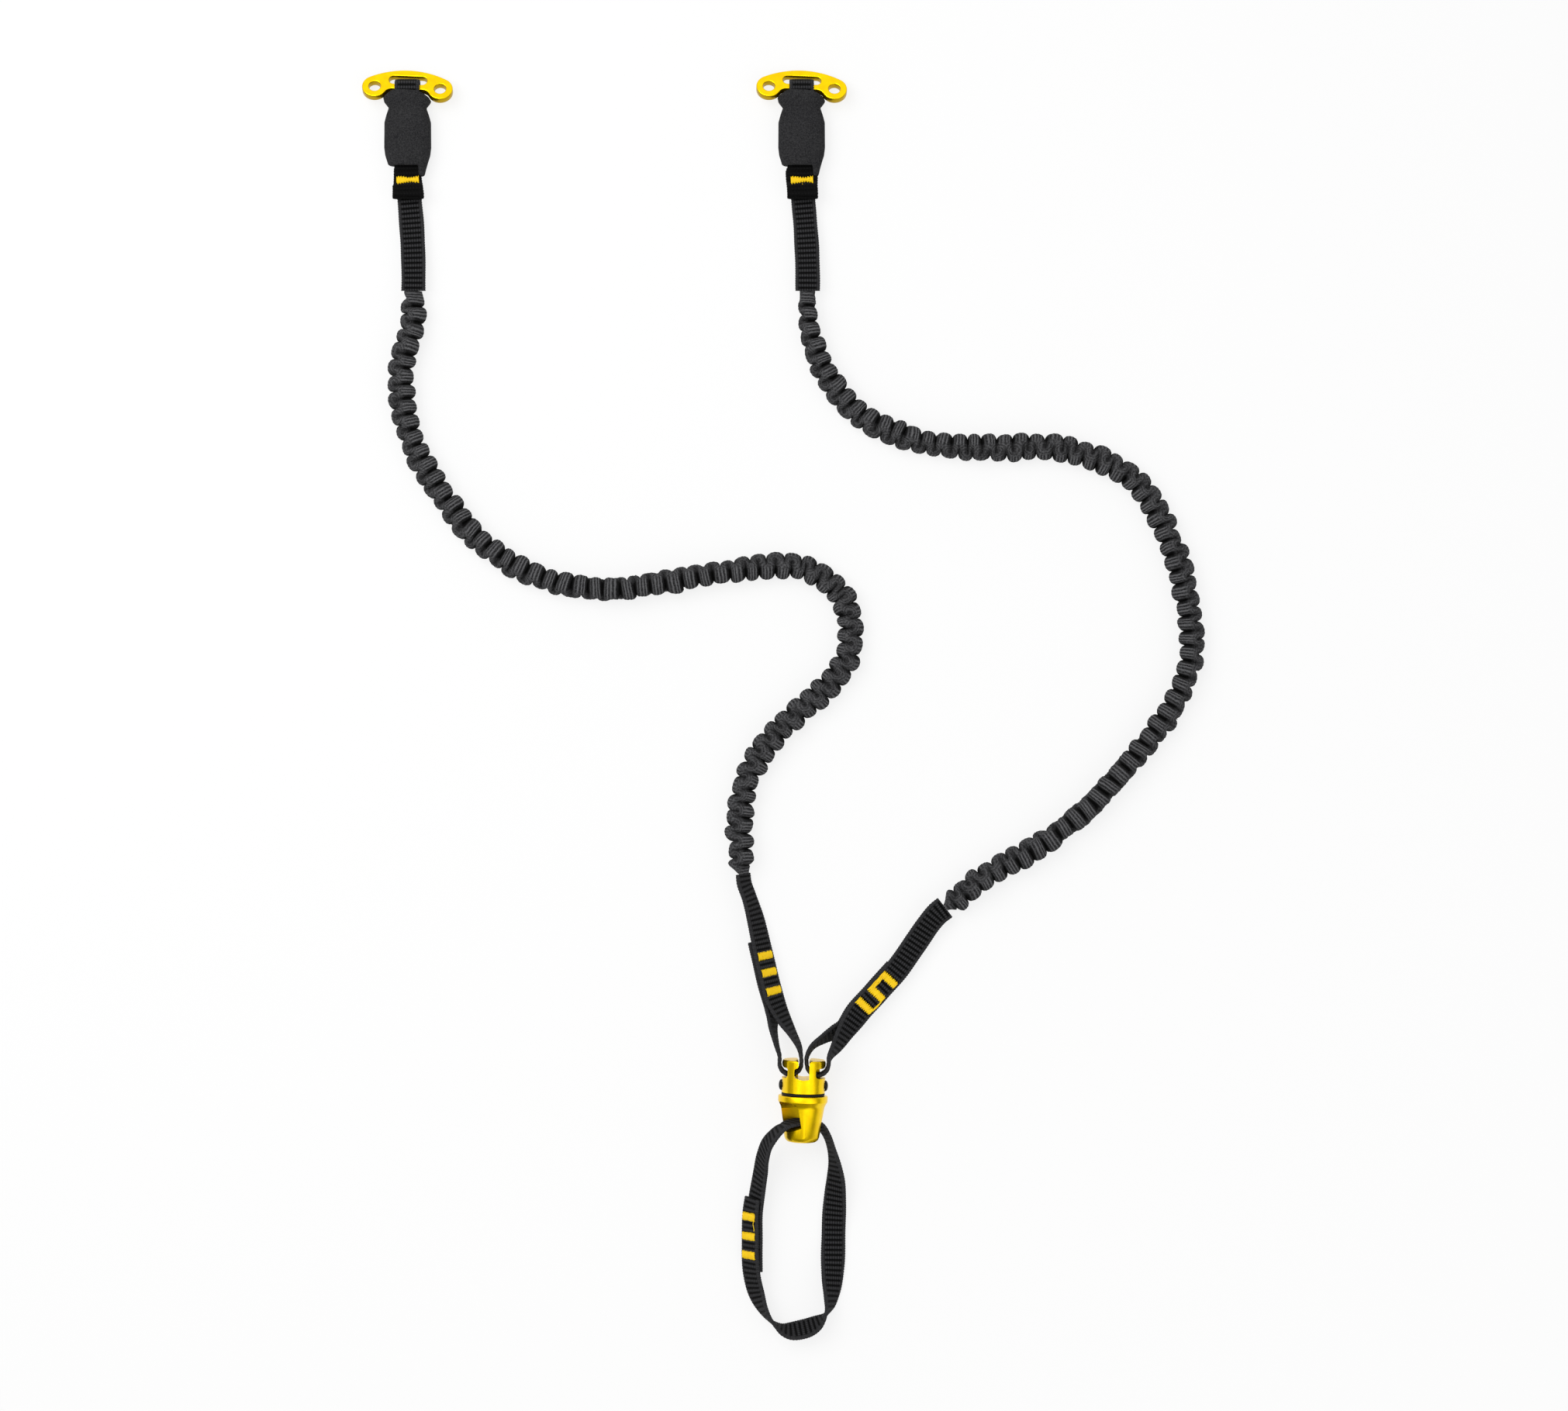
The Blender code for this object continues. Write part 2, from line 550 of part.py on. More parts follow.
def foam_sleeve(name, bar_x, finish, parent):
    """A soft tube: flared mouth at the plate, pinched neck, full body, drawn-in foot."""
    edge = WEB_WIDTH / 2
    body = [
        (BAR_Y - down, bar_x, edge + proud, *rest) for down, proud, *rest in SLEEVE_STATIONS
    ]
    sleeve = make(name, lofted(body, SLEEVE_SIDES, 2.7), finish, parent)
    clear = GAP + 0.05
    wrap = WRAP_RADIUS + WEB_THICK / 2 + clear
    flat_low = STRAP_Z - LAYER_STEP / 2 - WEB_THICK / 2 - clear
    flat_high = STRAP_Z + LAYER_STEP / 2 + WEB_THICK / 2 + clear
    half = edge + clear
    mouth_half = edge + SLEEVE_STATIONS[0][1] - 1.6
    passage = (
        (BAR_Y + 3.0, bar_x, mouth_half, BAR_Z - wrap, BAR_Z + wrap + 0.3),
        (BAR_Y - 5.0, bar_x, mouth_half - 1.0, BAR_Z - wrap + 0.1, BAR_Z + wrap),
        (BAR_Y - 10.0, bar_x, half + 0.2, BAR_Z - wrap + 0.8, BAR_Z + wrap - 0.7),
        (BAR_Y - 15.0, bar_x, half, flat_low - 0.3, flat_high + 0.8),
        (BAR_Y - 20.0, bar_x, half, flat_low, flat_high),
        (BAR_Y - 50.0, bar_x, half, flat_low, flat_high),
    )
    bm = lofted([(*station, 0) for station in passage], 8, 20)
    boolean(sleeve, make(f"{name}_passage", bm, None, parent, cutter=True), "DIFFERENCE")
    wide = edge + SLEEVE_STATIONS[2][1] + 3
    lip = BAR_Y - 1.4
    corner = BAR_Y - 5.8
    right = [
        (3.0, lip), (edge - 0.25, lip - 0.2), (edge + 2.35, corner + 3.4),
        (edge + 4.55, corner + 1.8), (edge + 6.15, corner), (wide, corner),
    ]
    mouth = [(-x, y) for x, y in reversed(right)] + right
    mouth += [(wide, BAR_Y + 5), (-wide, BAR_Y + 5)]
    lean = Matrix.Rotation(PLATE_LEAN, 4, "Z")
    spot = Matrix.Translation((bar_x, BAR_Y, 0))
    bm = prism([(x, y - BAR_Y) for x, y in mouth], -5, 20, spot @ lean)
    boolean(sleeve, make(f"{name}_mouth", bm, None, parent, cutter=True), "DIFFERENCE")
    foot = [
        (-wide, -SLEEVE_FRONT), (edge - 1.35, -SLEEVE_FRONT),
        (edge - 0.05, -SLEEVE_FRONT - 0.6), (edge + 0.45, -SLEEVE_FRONT - 6.0),
        (-wide, -SLEEVE_FRONT - 6.0),
    ]
    bm = prism(list(reversed(foot)), -5, 20, spot)
    boolean(sleeve, make(f"{name}_foot", bm, None, parent, cutter=True), "DIFFERENCE")


def upper_route(bar_x):
    """From the tube up through the sleeve, over the plate's bar, back down, and the hem."""
    back_z = STRAP_Z - LAYER_STEP / 2
    front_z = STRAP_Z + LAYER_STEP / 2
    start_x = bar_x + STRAP_SHIFT
    up = [
        (start_x, TUBE_TOP + GAP, TUBE_HEIGHT), (start_x, TUBE_TOP + 9, 7.0),
        (start_x - 0.4, TUBE_TOP + 22, 6.0), (start_x - 1.3, TUBE_TOP + 36, 4.9),
        (bar_x + 0.9, BAR_Y - 58, back_z), (bar_x + 0.3, BAR_Y - 50, back_z),
        (bar_x, BAR_Y - 42, back_z), (bar_x, BAR_Y - 30, back_z),
        (bar_x, BAR_Y - 20, back_z), (bar_x, BAR_Y - 15, back_z - 0.3),
        (bar_x, BAR_Y - 9.5, BAR_Z - WRAP_RADIUS + 0.7),
        (bar_x, BAR_Y - 4.5, BAR_Z - WRAP_RADIUS + 0.1),
    ]
    over = [
        (bar_x, BAR_Y + forward, BAR_Z + height)
        for height, forward in arc((0, 0), WRAP_RADIUS, 180, 0, 9)
    ]
    hem_z = front_z + HEM_RADIUS
    down = [
        (bar_x, BAR_Y - 4.5, BAR_Z + WRAP_RADIUS - 0.1),
        (bar_x, BAR_Y - 9.5, BAR_Z + WRAP_RADIUS - 0.7),
        (bar_x, BAR_Y - 15, front_z + 0.7), (bar_x, BAR_Y - 20, front_z),
        (bar_x, BAR_Y - 30, front_z), (bar_x, BAR_Y - 42, front_z),
        (bar_x + 0.3, BAR_Y - FOLD_END + 4, front_z),
    ]
    hem = [
        (bar_x + 0.5, BAR_Y - FOLD_END - forward, hem_z + height)
        for forward, height in arc((0, 0), HEM_RADIUS, -90, 90, 7)
    ]
    end = [(bar_x + 0.3, BAR_Y - FOLD_END + HEM_LENGTH, hem_z + HEM_RADIUS)]
    return [(*point, 0) for point in up + over + down + hem + end]


def leash_end(side, tube_x, finishes, arm):
    """The axe end of one arm: plate, sleeve, strap and its tack."""
    bar_x = tube_x - STRAP_SHIFT
    end = pivot(f"{side}_end_pivot", (tube_x, TUBE_TOP, TUBE_HEIGHT), arm)
    tilt = Matrix.Rotation(PLATE_LEAN, 4, "Z") @ Matrix.Rotation(PLATE_TILT, 4, "X")
    bar = pivot(f"{side}_plate_pivot", (bar_x, BAR_Y, BAR_Z), end, tilt)
    end_plate(f"{side}_end_plate", finishes["anodised"], bar)
    foam_sleeve(f"{side}_foam_sleeve", bar_x, finishes["foam"], end)
    route = smooth(upper_route(bar_x), 6.0)
    frames = strap_frames(route, upright=Vector((1, 0, 0)))
    strap(f"{side}_upper_tape", frames, finishes["webbing"], end)
    seat = min(
        (frame for frame in frames if frame.to_3x3().col[2].z > 0.99),
        key=lambda frame: abs(frame.translation.y - (BAR_Y - 47.3)),
    )
    tack(f"{side}_upper_tack", seat, 1, finishes["thread"], end)


# Lower tapes
def lower_tape(side, eye_x, tube, tape, back, tacks, finishes, parent):
    """Out of the tube, down to the eye, round its bar, and back up behind itself."""
    tip = Vector(tube[-1])
    ahead = (tip - Vector(tube[-2])).normalized()
    start = [(*(tip + ahead * reach), TUBE_HEIGHT, tape[0][3]) for reach in (GAP, 5)]
    turn = [
        (*(swivel_frame() @ Vector((eye_x + x, EYE_Y + y, 0))), 0)
        for x, y in arc((0, 0), EYE_WRAP, 0, -180, 9)
    ]
    doubled = layer_over(tape, 2, 5)
    route = smooth(start + list(tape) + turn + list(back) + doubled, 3.5)
    frames = strap_frames(route)
    strap(f"{side}_lower_tape", frames, finishes["webbing"], parent)
    for number, distance in enumerate(tacks, 1):
        seat = frame_at(frames, distance)
        tack(f"{side}_lower_tack_{number}", seat, -1, finishes["thread"], parent)


# Swivel
def swivel_head(finish, parent):
    """A turned barrel, two eye bars on four posts, all inside one turned envelope."""
    frame = swivel_frame()
    bar_w, bar_h = EYE_BAR
    top = EYE_Y + bar_h / 2
    inner = EYE_OFFSET - bar_w / 2
    barrel = rounded(
        [(0, SHOULDER_Y, 0), (HEAD_RADIUS + 1, SHOULDER_Y, 0),
         (HEAD_RADIUS + 1, HEAD_FOOT_Y, 0), (0, HEAD_FOOT_Y, 0)]
    )
    head = make("swivel_head", turned(barrel, 48, frame), finish, parent)
    for place in (-1, 1):
        middle = place * EYE_OFFSET
        outline = rounded(
            [(middle - bar_w / 2, EYE_Y - bar_h / 2, EYE_ROUND),
             (middle + bar_w / 2, EYE_Y - bar_h / 2, EYE_ROUND),
             (middle + bar_w / 2, top, EYE_ROUND),
             (middle - bar_w / 2, top, EYE_ROUND)]
        )
        bar = prism(outline, -HEAD_RADIUS - 1, HEAD_RADIUS + 1, frame)
        boolean(head, make(f"eye_bar_{place + 1}", bar, None, parent, cutter=True), "UNION")
    foot = SHOULDER_Y - 0.5
    for number, (left, half) in enumerate(((-1, 1), (1, 1), (1, -1), (-1, -1))):
        outer = left * half < 0
        start = EYE_OFFSET - POST_WIDTH / 2 - 0.4 if outer else inner
        low, high = start, start + POST_WIDTH
        under_bar = EYE_Y - bar_h / 2
        outline = [(low, foot), (low, EYE_Y)]
        if outer:
            outline = [(low - POST_FOOT, foot)]
            outline += arc((low - POST_FOOT, SHOULDER_Y + POST_FOOT), POST_FOOT, -90, 0, 5)
            outline += arc((low - POST_NECK, under_bar - POST_NECK), POST_NECK, 0, 90, 4)
            outline += [(low - POST_NECK, EYE_Y)]
        outline += [(high + POST_NECK, EYE_Y)]
        outline += arc((high + POST_NECK, under_bar - POST_NECK), POST_NECK, 90, 180, 4)
        outline += arc((high + POST_FOOT, SHOULDER_Y + POST_FOOT), POST_FOOT, 180, 270, 5)
        outline += [(high + POST_FOOT, foot)]
        outline = [(left * x, y) for x, y in outline]
        near, far = sorted((half * EYE_WIDTH / 2, half * (HEAD_RADIUS + 1)))
        post = prism(outline, near, far, frame)
        boolean(head, make(f"eye_post_{number}", post, None, parent, cutter=True), "UNION")
    envelope = rounded(
        [(0, top + 0.5, 0), (HEAD_RADIUS, top + 0.5, 1.4), (HEAD_RADIUS, HEAD_FOOT_Y - 0.5, 0),
         (0, HEAD_FOOT_Y - 0.5, 0)]
    )
    envelope = make("head_envelope", turned(envelope, 48, frame, 2), None, parent, cutter=True)
    boolean(head, envelope, "INTERSECT")
    dish = prism(
        arc((0, SHOULDER_Y + 8.3), 9.0, 0, 345, 24), -HEAD_RADIUS - 2, HEAD_RADIUS + 2, frame
    )
    dish = make("shoulder_dish", dish, None, parent, cutter=True)
    boolean(dish, slab("dish_width", (-inner - 0.01, inner + 0.01), frame, parent), "INTERSECT")
    boolean(head, dish, "DIFFERENCE")
    hole = [(0, HEAD_FOOT_Y - 1), (AXLE_RADIUS + GAP, HEAD_FOOT_Y - 1),
            (AXLE_RADIUS + GAP, SHOULDER_Y - 1.5), (0, SHOULDER_Y - 1.5)]
    hole = make("axle_hole", turned(hole, 24, frame, 4), None, parent, cutter=True)
    boolean(head, hole, "DIFFERENCE")
    boolean(head, cross_hole(parent), "DIFFERENCE")


def swivel_frame():
    """The swivel's own frame, Y along its axis; heights along Y stay as they are."""
    lean = Matrix.Rotation(SWIVEL_LEAN, 4, "Z")
    spot = Matrix.Translation((SWIVEL_X, EYE_Y, SWIVEL_Z))
    return spot @ lean @ Matrix.Translation((0, -EYE_Y, 0))


def slab(name, across, frame, parent):
    """A block as wide as the gap between the eye bars."""
    low, high = across
    outline = [(low, SHOULDER_Y - 3), (high, SHOULDER_Y - 3), (high, 0), (low, 0)]
    bm = prism(outline, -HEAD_RADIUS - 3, HEAD_RADIUS + 3, frame)
    return make(name, bm, None, parent, cutter=True)


def across_frame():
    """Turns a shape spun round Y so that it lies along X through the rivet's place."""
    lie = Matrix.Rotation(math.radians(-90), 4, "Z")
    return swivel_frame() @ Matrix.Translation((0, RIVET_Y, 0)) @ lie


def cross_hole(parent):
    """The rivet's hole, with a flat spot face for each head."""
    face = HEAD_RADIUS - SPOT_DEPTH
    hole = RIVET_RADIUS + GAP
    profile = [
        (0, -HEAD_RADIUS - 2), (SPOT_RADIUS, -HEAD_RADIUS - 2), (SPOT_RADIUS, -face),
        (hole, -face), (hole, face), (SPOT_RADIUS, face),
        (SPOT_RADIUS, HEAD_RADIUS + 2), (0, HEAD_RADIUS + 2),
    ]
    bm = turned(profile, 20, across_frame(), 7)
    return make("rivet_hole", bm, None, parent, cutter=True)


def cross_rivet(finish, parent):
    seat = HEAD_RADIUS - SPOT_DEPTH + GAP
    dome = [
        (RIVET_HEAD_RADIUS * math.cos(angle), seat + 0.4 + RIVET_DOME * math.sin(angle))
        for angle in np.linspace(0, math.pi / 2, 5)
    ]
    half = [(RIVET_RADIUS, 0), (RIVET_RADIUS, seat), (RIVET_HEAD_RADIUS, seat)] + dome
    profile = [(r, -y) for r, y in reversed(half[1:])] + half
    make("cross_rivet", turned(profile, 16, across_frame()), finish, parent)


def swivel_axle(finish, parent):
    """Shaft, head in the yoke's window, and the hole for the rivet."""
    frame = swivel_frame()
    top = SHOULDER_Y - 1.5 - GAP
    head_top = ROOF_Y - 2 * GAP - WASHER_THICK
    foot = head_top - AXLE_HEAD_HEIGHT
    profile = rounded(
        [(0, top, 0), (AXLE_RADIUS, top, 0.6), (AXLE_RADIUS, head_top, 0),
         (AXLE_HEAD_RADIUS, head_top, 0), (AXLE_HEAD_RADIUS, foot, 0.6), (0, foot, 0)], 2
    )
    axle = make("swivel_axle", turned(profile, 24, frame), finish, parent)
    hole = RIVET_RADIUS + GAP
    profile = [(0, -AXLE_RADIUS - 2), (hole, -AXLE_RADIUS - 2), (hole, AXLE_RADIUS + 2),
               (0, AXLE_RADIUS + 2)]
    bm = turned(profile, 16, across_frame(), 7)
    boolean(axle, make("axle_cross_hole", bm, None, parent, cutter=True), "DIFFERENCE")


def ring(name, inner, outer, low, high, finish, parent):
    frame = swivel_frame()
    profile = [(outer, low), (outer, high), (inner, high), (inner, low)]
    make(name, turned(profile, 40, frame), finish, parent)


def window_frame():
    """The window's own frame: X across it, Y up, Z out of its front."""
    return swivel_frame() @ Matrix.Rotation(-WINDOW_TURN, 4, "Y")


def swivel_yoke(finish, parent):
    """Turned flange and cone, a window through it, a rounded bar under the window."""
    frame = swivel_frame()
    under = YOKE_TOP_Y - FLANGE_HEIGHT
    profile = rounded(
        [(0, YOKE_TOP_Y, 0), (FLANGE_RADIUS, YOKE_TOP_Y, 0.5), (FLANGE_RADIUS, under, 0.8),
         (CONE_RADII[0], under - 2.6, 5.0), (CONE_RADII[1], under - 16.8, 0),
         (CONE_RADII[2], YOKE_FOOT_Y, 3.0),
         (0, YOKE_FOOT_Y, 0)]
    )
    yoke = make("swivel_yoke", turned(profile, 40, frame), finish, parent)
    half = WINDOW_WIDTH / 2
    sill = CROWN_Y + 3
    window = rounded(
        [(-half, sill, 0), (half, sill, 0), (half, ROOF_Y, WINDOW_CORNER),
         (-half, ROOF_Y, WINDOW_CORNER)], 4
    )
    opening = prism(window, -FLANGE_RADIUS - 3, FLANGE_RADIUS + 3, window_frame())
    opening = make("yoke_window", opening, None, parent, cutter=True)
    on_side = window_frame() @ Matrix.Translation((0, CROWN_Y, 0)) @ Matrix.Rotation(
        math.radians(90), 4, "Y"
    )
    crown = prism(arc((0, 0), CROWN_RADIUS, 0, 352.5, 48), -half - 2, half + 2, on_side)
    boolean(opening, make("window_crown", crown, None, parent, cutter=True), "DIFFERENCE")
    boolean(yoke, opening, "DIFFERENCE")
    recess = AXLE_HEAD_RADIUS + 0.6
    hole = [(0, ROOF_Y - 3), (recess, ROOF_Y - 3), (recess, ROOF_Y), (AXLE_RADIUS + GAP, ROOF_Y),
            (AXLE_RADIUS + GAP, YOKE_TOP_Y + 1), (0, YOKE_TOP_Y + 1)]
    hole = make("yoke_bore", turned(hole, 24, frame, 4), None, parent, cutter=True)
    boolean(yoke, hole, "DIFFERENCE")
    for way in (-1, 1):
        slope = Matrix.Rotation(math.radians(way * FACET_SLOPE), 4, "Z")
        spot = Matrix.Translation((way * FACET_REACH, YOKE_FOOT_Y + FACET_HEIGHT, 0))
        low, high = sorted((0, way * 8))
        block = prism([(low, -9), (high, -9), (high, 9), (low, 9)], -11, 11)
        matrix = window_frame() @ spot @ slope
        bmesh.ops.transform(block, matrix=matrix, verts=block.verts)
        cutter = make(f"foot_facet_{way + 1}", block, None, parent, cutter=True)
        boolean(yoke, cutter, "DIFFERENCE")


# Tie-in loop
def on_floor(point):
    """A route point, lifted where its strap would go through the floor."""
    x, y, z, turn = point
    stand = abs(math.cos(math.radians(turn)))
    lie = abs(math.sin(math.radians(turn)))
    return x, y, max(z, WEB_WIDTH / 2 * stand + WEB_THICK / 2 * lie + GAP / 3), turn


def tie_in_loop(finishes, parent):
    """Up from the lap, over the yoke's rounded bar, and round to the lap again."""
    across = window_frame()
    over = []
    for angle in (-14, -7, 0, 7, 14, 24):
        forward = math.sin(math.radians(angle))
        upward = math.cos(math.radians(angle))
        place = Vector((0, CROWN_Y + LOOP_RADIUS * upward, -LOOP_RADIUS * forward))
        along = across.to_3x3() @ Vector((0, -forward, -upward))
        bend = turn_for(along, across.to_3x3().col[0])
        over.append((*(across @ place), bend))
    up, down = [[on_floor(point) for point in points] for points in (LOOP_UP, LOOP_DOWN)]
    route = smooth(up + over + down + lapped(up, *LAP), 4.0)
    frames = strap_frames(route)
    strap("tie_in_loop", frames, finishes["webbing"], parent)
    for number, distance in enumerate(LOOP_TACKS, 1):
        seat = frame_at(frames, -distance)
        tack(f"loop_tack_{number}", seat, 1, finishes["thread"], parent)


def main():
    clear_scene()
    finishes = {
        "anodised": material("anodised_aluminium", (0.88, 0.63, 0.01), 0.28, 1.0),
        "webbing": material("polyamide_webbing", (0.02, 0.02, 0.02), 0.85),
        "gathered": material("gathered_webbing", (0.05, 0.05, 0.05), 0.9),
        "elastic": material("elastic", (0.07, 0.06, 0.05), 0.8),
        "foam": material("closed_cell_foam", (0.035, 0.035, 0.037), 0.95),
        "thread": material("stitching_thread", (0.95, 0.6, 0.02), 0.6),
        "steel": material("blackened_steel", (0.015, 0.015, 0.015), 0.4, 1.0),
        "seal": material("seal_rubber", (0.01, 0.01, 0.01), 0.6),
    }
    lean = Matrix.Rotation(SWIVEL_LEAN, 4, "Z")
    body = pivot("swivel_head_pivot", (SWIVEL_X, EYE_Y, SWIVEL_Z), None, lean)
    spin = pivot("yoke_pivot", swivel_frame() @ Vector((0, YOKE_TOP_Y, 0)), body, lean)
    crown = window_frame() @ Vector((0, CROWN_Y, 0))
    swing = pivot("tie_in_pivot", crown, spin, window_frame().to_3x3().to_4x4())
    swivel_head(finishes["anodised"], body)
    cross_rivet(finishes["steel"], body)
    swivel_axle(finishes["steel"], body)
    ring("seal_ring", AXLE_RADIUS + GAP, HEAD_RADIUS - 0.1, SEAL_TOP_Y - SEAL_THICK,
         SEAL_TOP_Y, finishes["seal"], body)
    ring("thrust_washer", AXLE_RADIUS + GAP, AXLE_HEAD_RADIUS, ROOF_Y - GAP - WASHER_THICK,
         ROOF_Y - GAP, finishes["steel"], body)
    swivel_yoke(finishes["anodised"], spin)
    tie_in_loop(finishes, swing)
    arms = (
        ("left", -EYE_OFFSET, LEFT_TUBE, LEFT_TAPE, LEFT_RETURN, LOWER_TACKS[0]),
        ("right", EYE_OFFSET, RIGHT_TUBE, RIGHT_TAPE, RIGHT_RETURN, LOWER_TACKS[1]),
    )
    for side, eye_x, tube, tape, back, tacks in arms:
        arm = pivot(f"{side}_arm_pivot", swivel_frame() @ Vector((eye_x, EYE_Y, 0)), body)
        lower_tape(side, eye_x, tube, tape, back, tacks, finishes, arm)
        elastic_arm(side, tube, finishes["gathered"], finishes["elastic"], arm)
        leash_end(side, tube[0][0], finishes, arm)


main()
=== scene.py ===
"""Twin-arm ice axe leash: how it looks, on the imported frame.

It lies flat on the floor, which is z = 0, and is seen from straight above. Shapes are worked
out in millimetres and become metres when their mesh is made.
"""
import json
import math

import bmesh
import bpy
import numpy as np
from mathutils import Matrix, Vector

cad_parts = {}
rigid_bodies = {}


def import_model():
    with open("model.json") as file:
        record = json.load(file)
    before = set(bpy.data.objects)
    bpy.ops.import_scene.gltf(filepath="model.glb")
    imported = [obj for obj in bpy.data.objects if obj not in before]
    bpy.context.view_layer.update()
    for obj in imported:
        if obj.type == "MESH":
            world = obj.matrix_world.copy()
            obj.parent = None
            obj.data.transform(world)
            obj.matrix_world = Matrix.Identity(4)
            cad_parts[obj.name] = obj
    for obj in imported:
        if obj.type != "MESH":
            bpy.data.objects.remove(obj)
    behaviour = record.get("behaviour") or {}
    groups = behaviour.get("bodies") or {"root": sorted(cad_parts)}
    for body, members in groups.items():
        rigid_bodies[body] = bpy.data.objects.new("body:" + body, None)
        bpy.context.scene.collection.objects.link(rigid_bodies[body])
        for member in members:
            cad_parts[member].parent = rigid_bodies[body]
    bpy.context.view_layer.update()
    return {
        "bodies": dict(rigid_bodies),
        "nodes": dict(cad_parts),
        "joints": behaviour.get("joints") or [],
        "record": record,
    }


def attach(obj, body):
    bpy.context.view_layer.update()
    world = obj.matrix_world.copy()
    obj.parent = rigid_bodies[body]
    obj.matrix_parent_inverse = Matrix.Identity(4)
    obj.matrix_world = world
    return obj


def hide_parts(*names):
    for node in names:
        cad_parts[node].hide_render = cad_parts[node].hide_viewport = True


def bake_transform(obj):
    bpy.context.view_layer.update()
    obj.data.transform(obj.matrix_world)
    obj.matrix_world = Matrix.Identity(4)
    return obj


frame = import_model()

scene = bpy.context.scene
MM = 0.001

# Camera: it looks straight down, and 0.4 mm at the height of the webbing fills each of the
# photograph's 2022 x 1820 pixels.
PIXELS_WIDE = 2022
PIXEL = 0.0004
LENS = 85
SENSOR = 36
MIDDLE_X = 0.0664
WEBBING_HEIGHT = 0.008
camera = bpy.data.objects.new("camera", bpy.data.cameras.new("camera"))
camera.data.lens = LENS
camera.data.sensor_width = SENSOR
camera.location = (MIDDLE_X, 0, WEBBING_HEIGHT + PIXELS_WIDE * PIXEL * LENS / SENSOR)
scene.collection.objects.link(camera)
scene.camera = camera

# Gathered tubes: soft tubular webbing pulled into folds by the elastic inside it. The folds
# stand in two rows, half a fold apart, and the tube twists on its way down, so that it shows
# the faces of the folds in some places and their edges in others.
FOLD = 8.2  # mm from one fold to the next
FOLD_STEPS = 12  # rows to each quarter of a fold
FOLD_COLUMNS = 30
FOLD_DEPTH = 0.5  # how far a crease goes in, as a part of the radius
FOLD_ROUNDING = 2.2  # of a fold's outline along the tube; 2 would be a half circle
RIB_HEIGHT = 0.06
SECTION_ROUNDING = 2.3  # of the tube's section; 2 would be an ellipse
TUBE_SIZE = 6.1, 7.2  # half across the folds' faces, half through them
END_SIZE = 5.9, 1.3  # the same at its ends, which are flat where the webbing joins
TAPER = 7  # mm from a flat end to the full size
OFF_FLOOR = 0.3
BORE_RADIUS = 2.95
BORE_ROWS = 140
CORE_RADIUS = 2.5
CORE_SHORT = 16  # half millimetres that the elastic ends short of the tube

LEFT_TUBE = (
    (-124.8, 214.0), (-124.8, 206.4), (-125.0, 199.2), (-128.0, 188.0), (-130.6, 176.0),
    (-131.2, 164.0), (-130.2, 153.0), (-127.2, 141.6), (-122.4, 129.6), (-115.6, 117.2),
    (-106.8, 104.0), (-96.0, 90.4), (-82.8, 78.8), (-67.6, 69.6), (-50.8, 63.4),
    (-33.5, 60.4), (-16.0, 60.6), (2.0, 63.2), (20.0, 66.2), (38.0, 69.4), (54.0, 72.0),
    (68.0, 72.4), (80.8, 69.2), (91.2, 62.4), (98.4, 52.4), (101.2, 40.4), (99.6, 27.2),
    (93.6, 15.6), (83.6, 4.8), (71.6, -5.2), (61.2, -15.6), (52.4, -27.6), (47.0, -40.0),
    (44.2, -54.0), (43.4, -66.4), (44.0, -76.0), (45.3, -86.8),
)
RIGHT_TUBE = (
    (78.6, 214.0), (78.6, 206.4), (79.0, 198.4), (80.8, 189.0), (84.2, 179.4),
    (88.8, 170.2), (94.8, 161.2), (102.4, 152.8), (111.6, 146.0), (122.8, 140.8),
    (136.0, 136.8), (150.0, 134.2), (164.4, 133.2), (178.8, 133.4), (193.2, 133.6),
    (206.8, 132.6), (220.4, 130.0), (233.0, 125.4), (244.2, 118.6), (253.2, 109.2),
    (260.2, 98.0), (266.0, 84.8), (270.6, 70.8), (274.2, 56.4), (276.4, 42.0),
    (276.4, 27.6), (273.6, 14.0), (268.0, 1.2), (259.6, -11.4), (249.6, -24.2),
    (238.4, -37.2), (225.6, -50.4), (211.4, -63.0), (195.4, -73.8), (178.4, -83.4),
    (165.6, -91.8), (158.0, -97.6), (149.6, -104.2),
)
# How far the folds' faces are turned from straight up: mm along the tube, degrees
LEFT_TWIST = (
    (0, -20), (15, -60), (77, -52), (113, -42), (130, -36), (151, -32), (187, -24),
    (205, -12), (222, 4), (240, 22), (262, 28), (280, 38), (293, 52), (310, 70), (330, 85),
    (385, 85), (430, 100), (460, 108), (486, 115), (505, 122),
)
RIGHT_TWIST = (
    (0, -5), (12, -25), (30, -40), (60, -45), (100, -48), (135, -58), (160, -78), (175, -90),
    (195, -103), (215, -115), (245, -122), (300, -128), (330, -140), (359, -150), (392, -168),
    (421, -178), (445, -195), (460, -215), (480, -240), (505, -250),
)


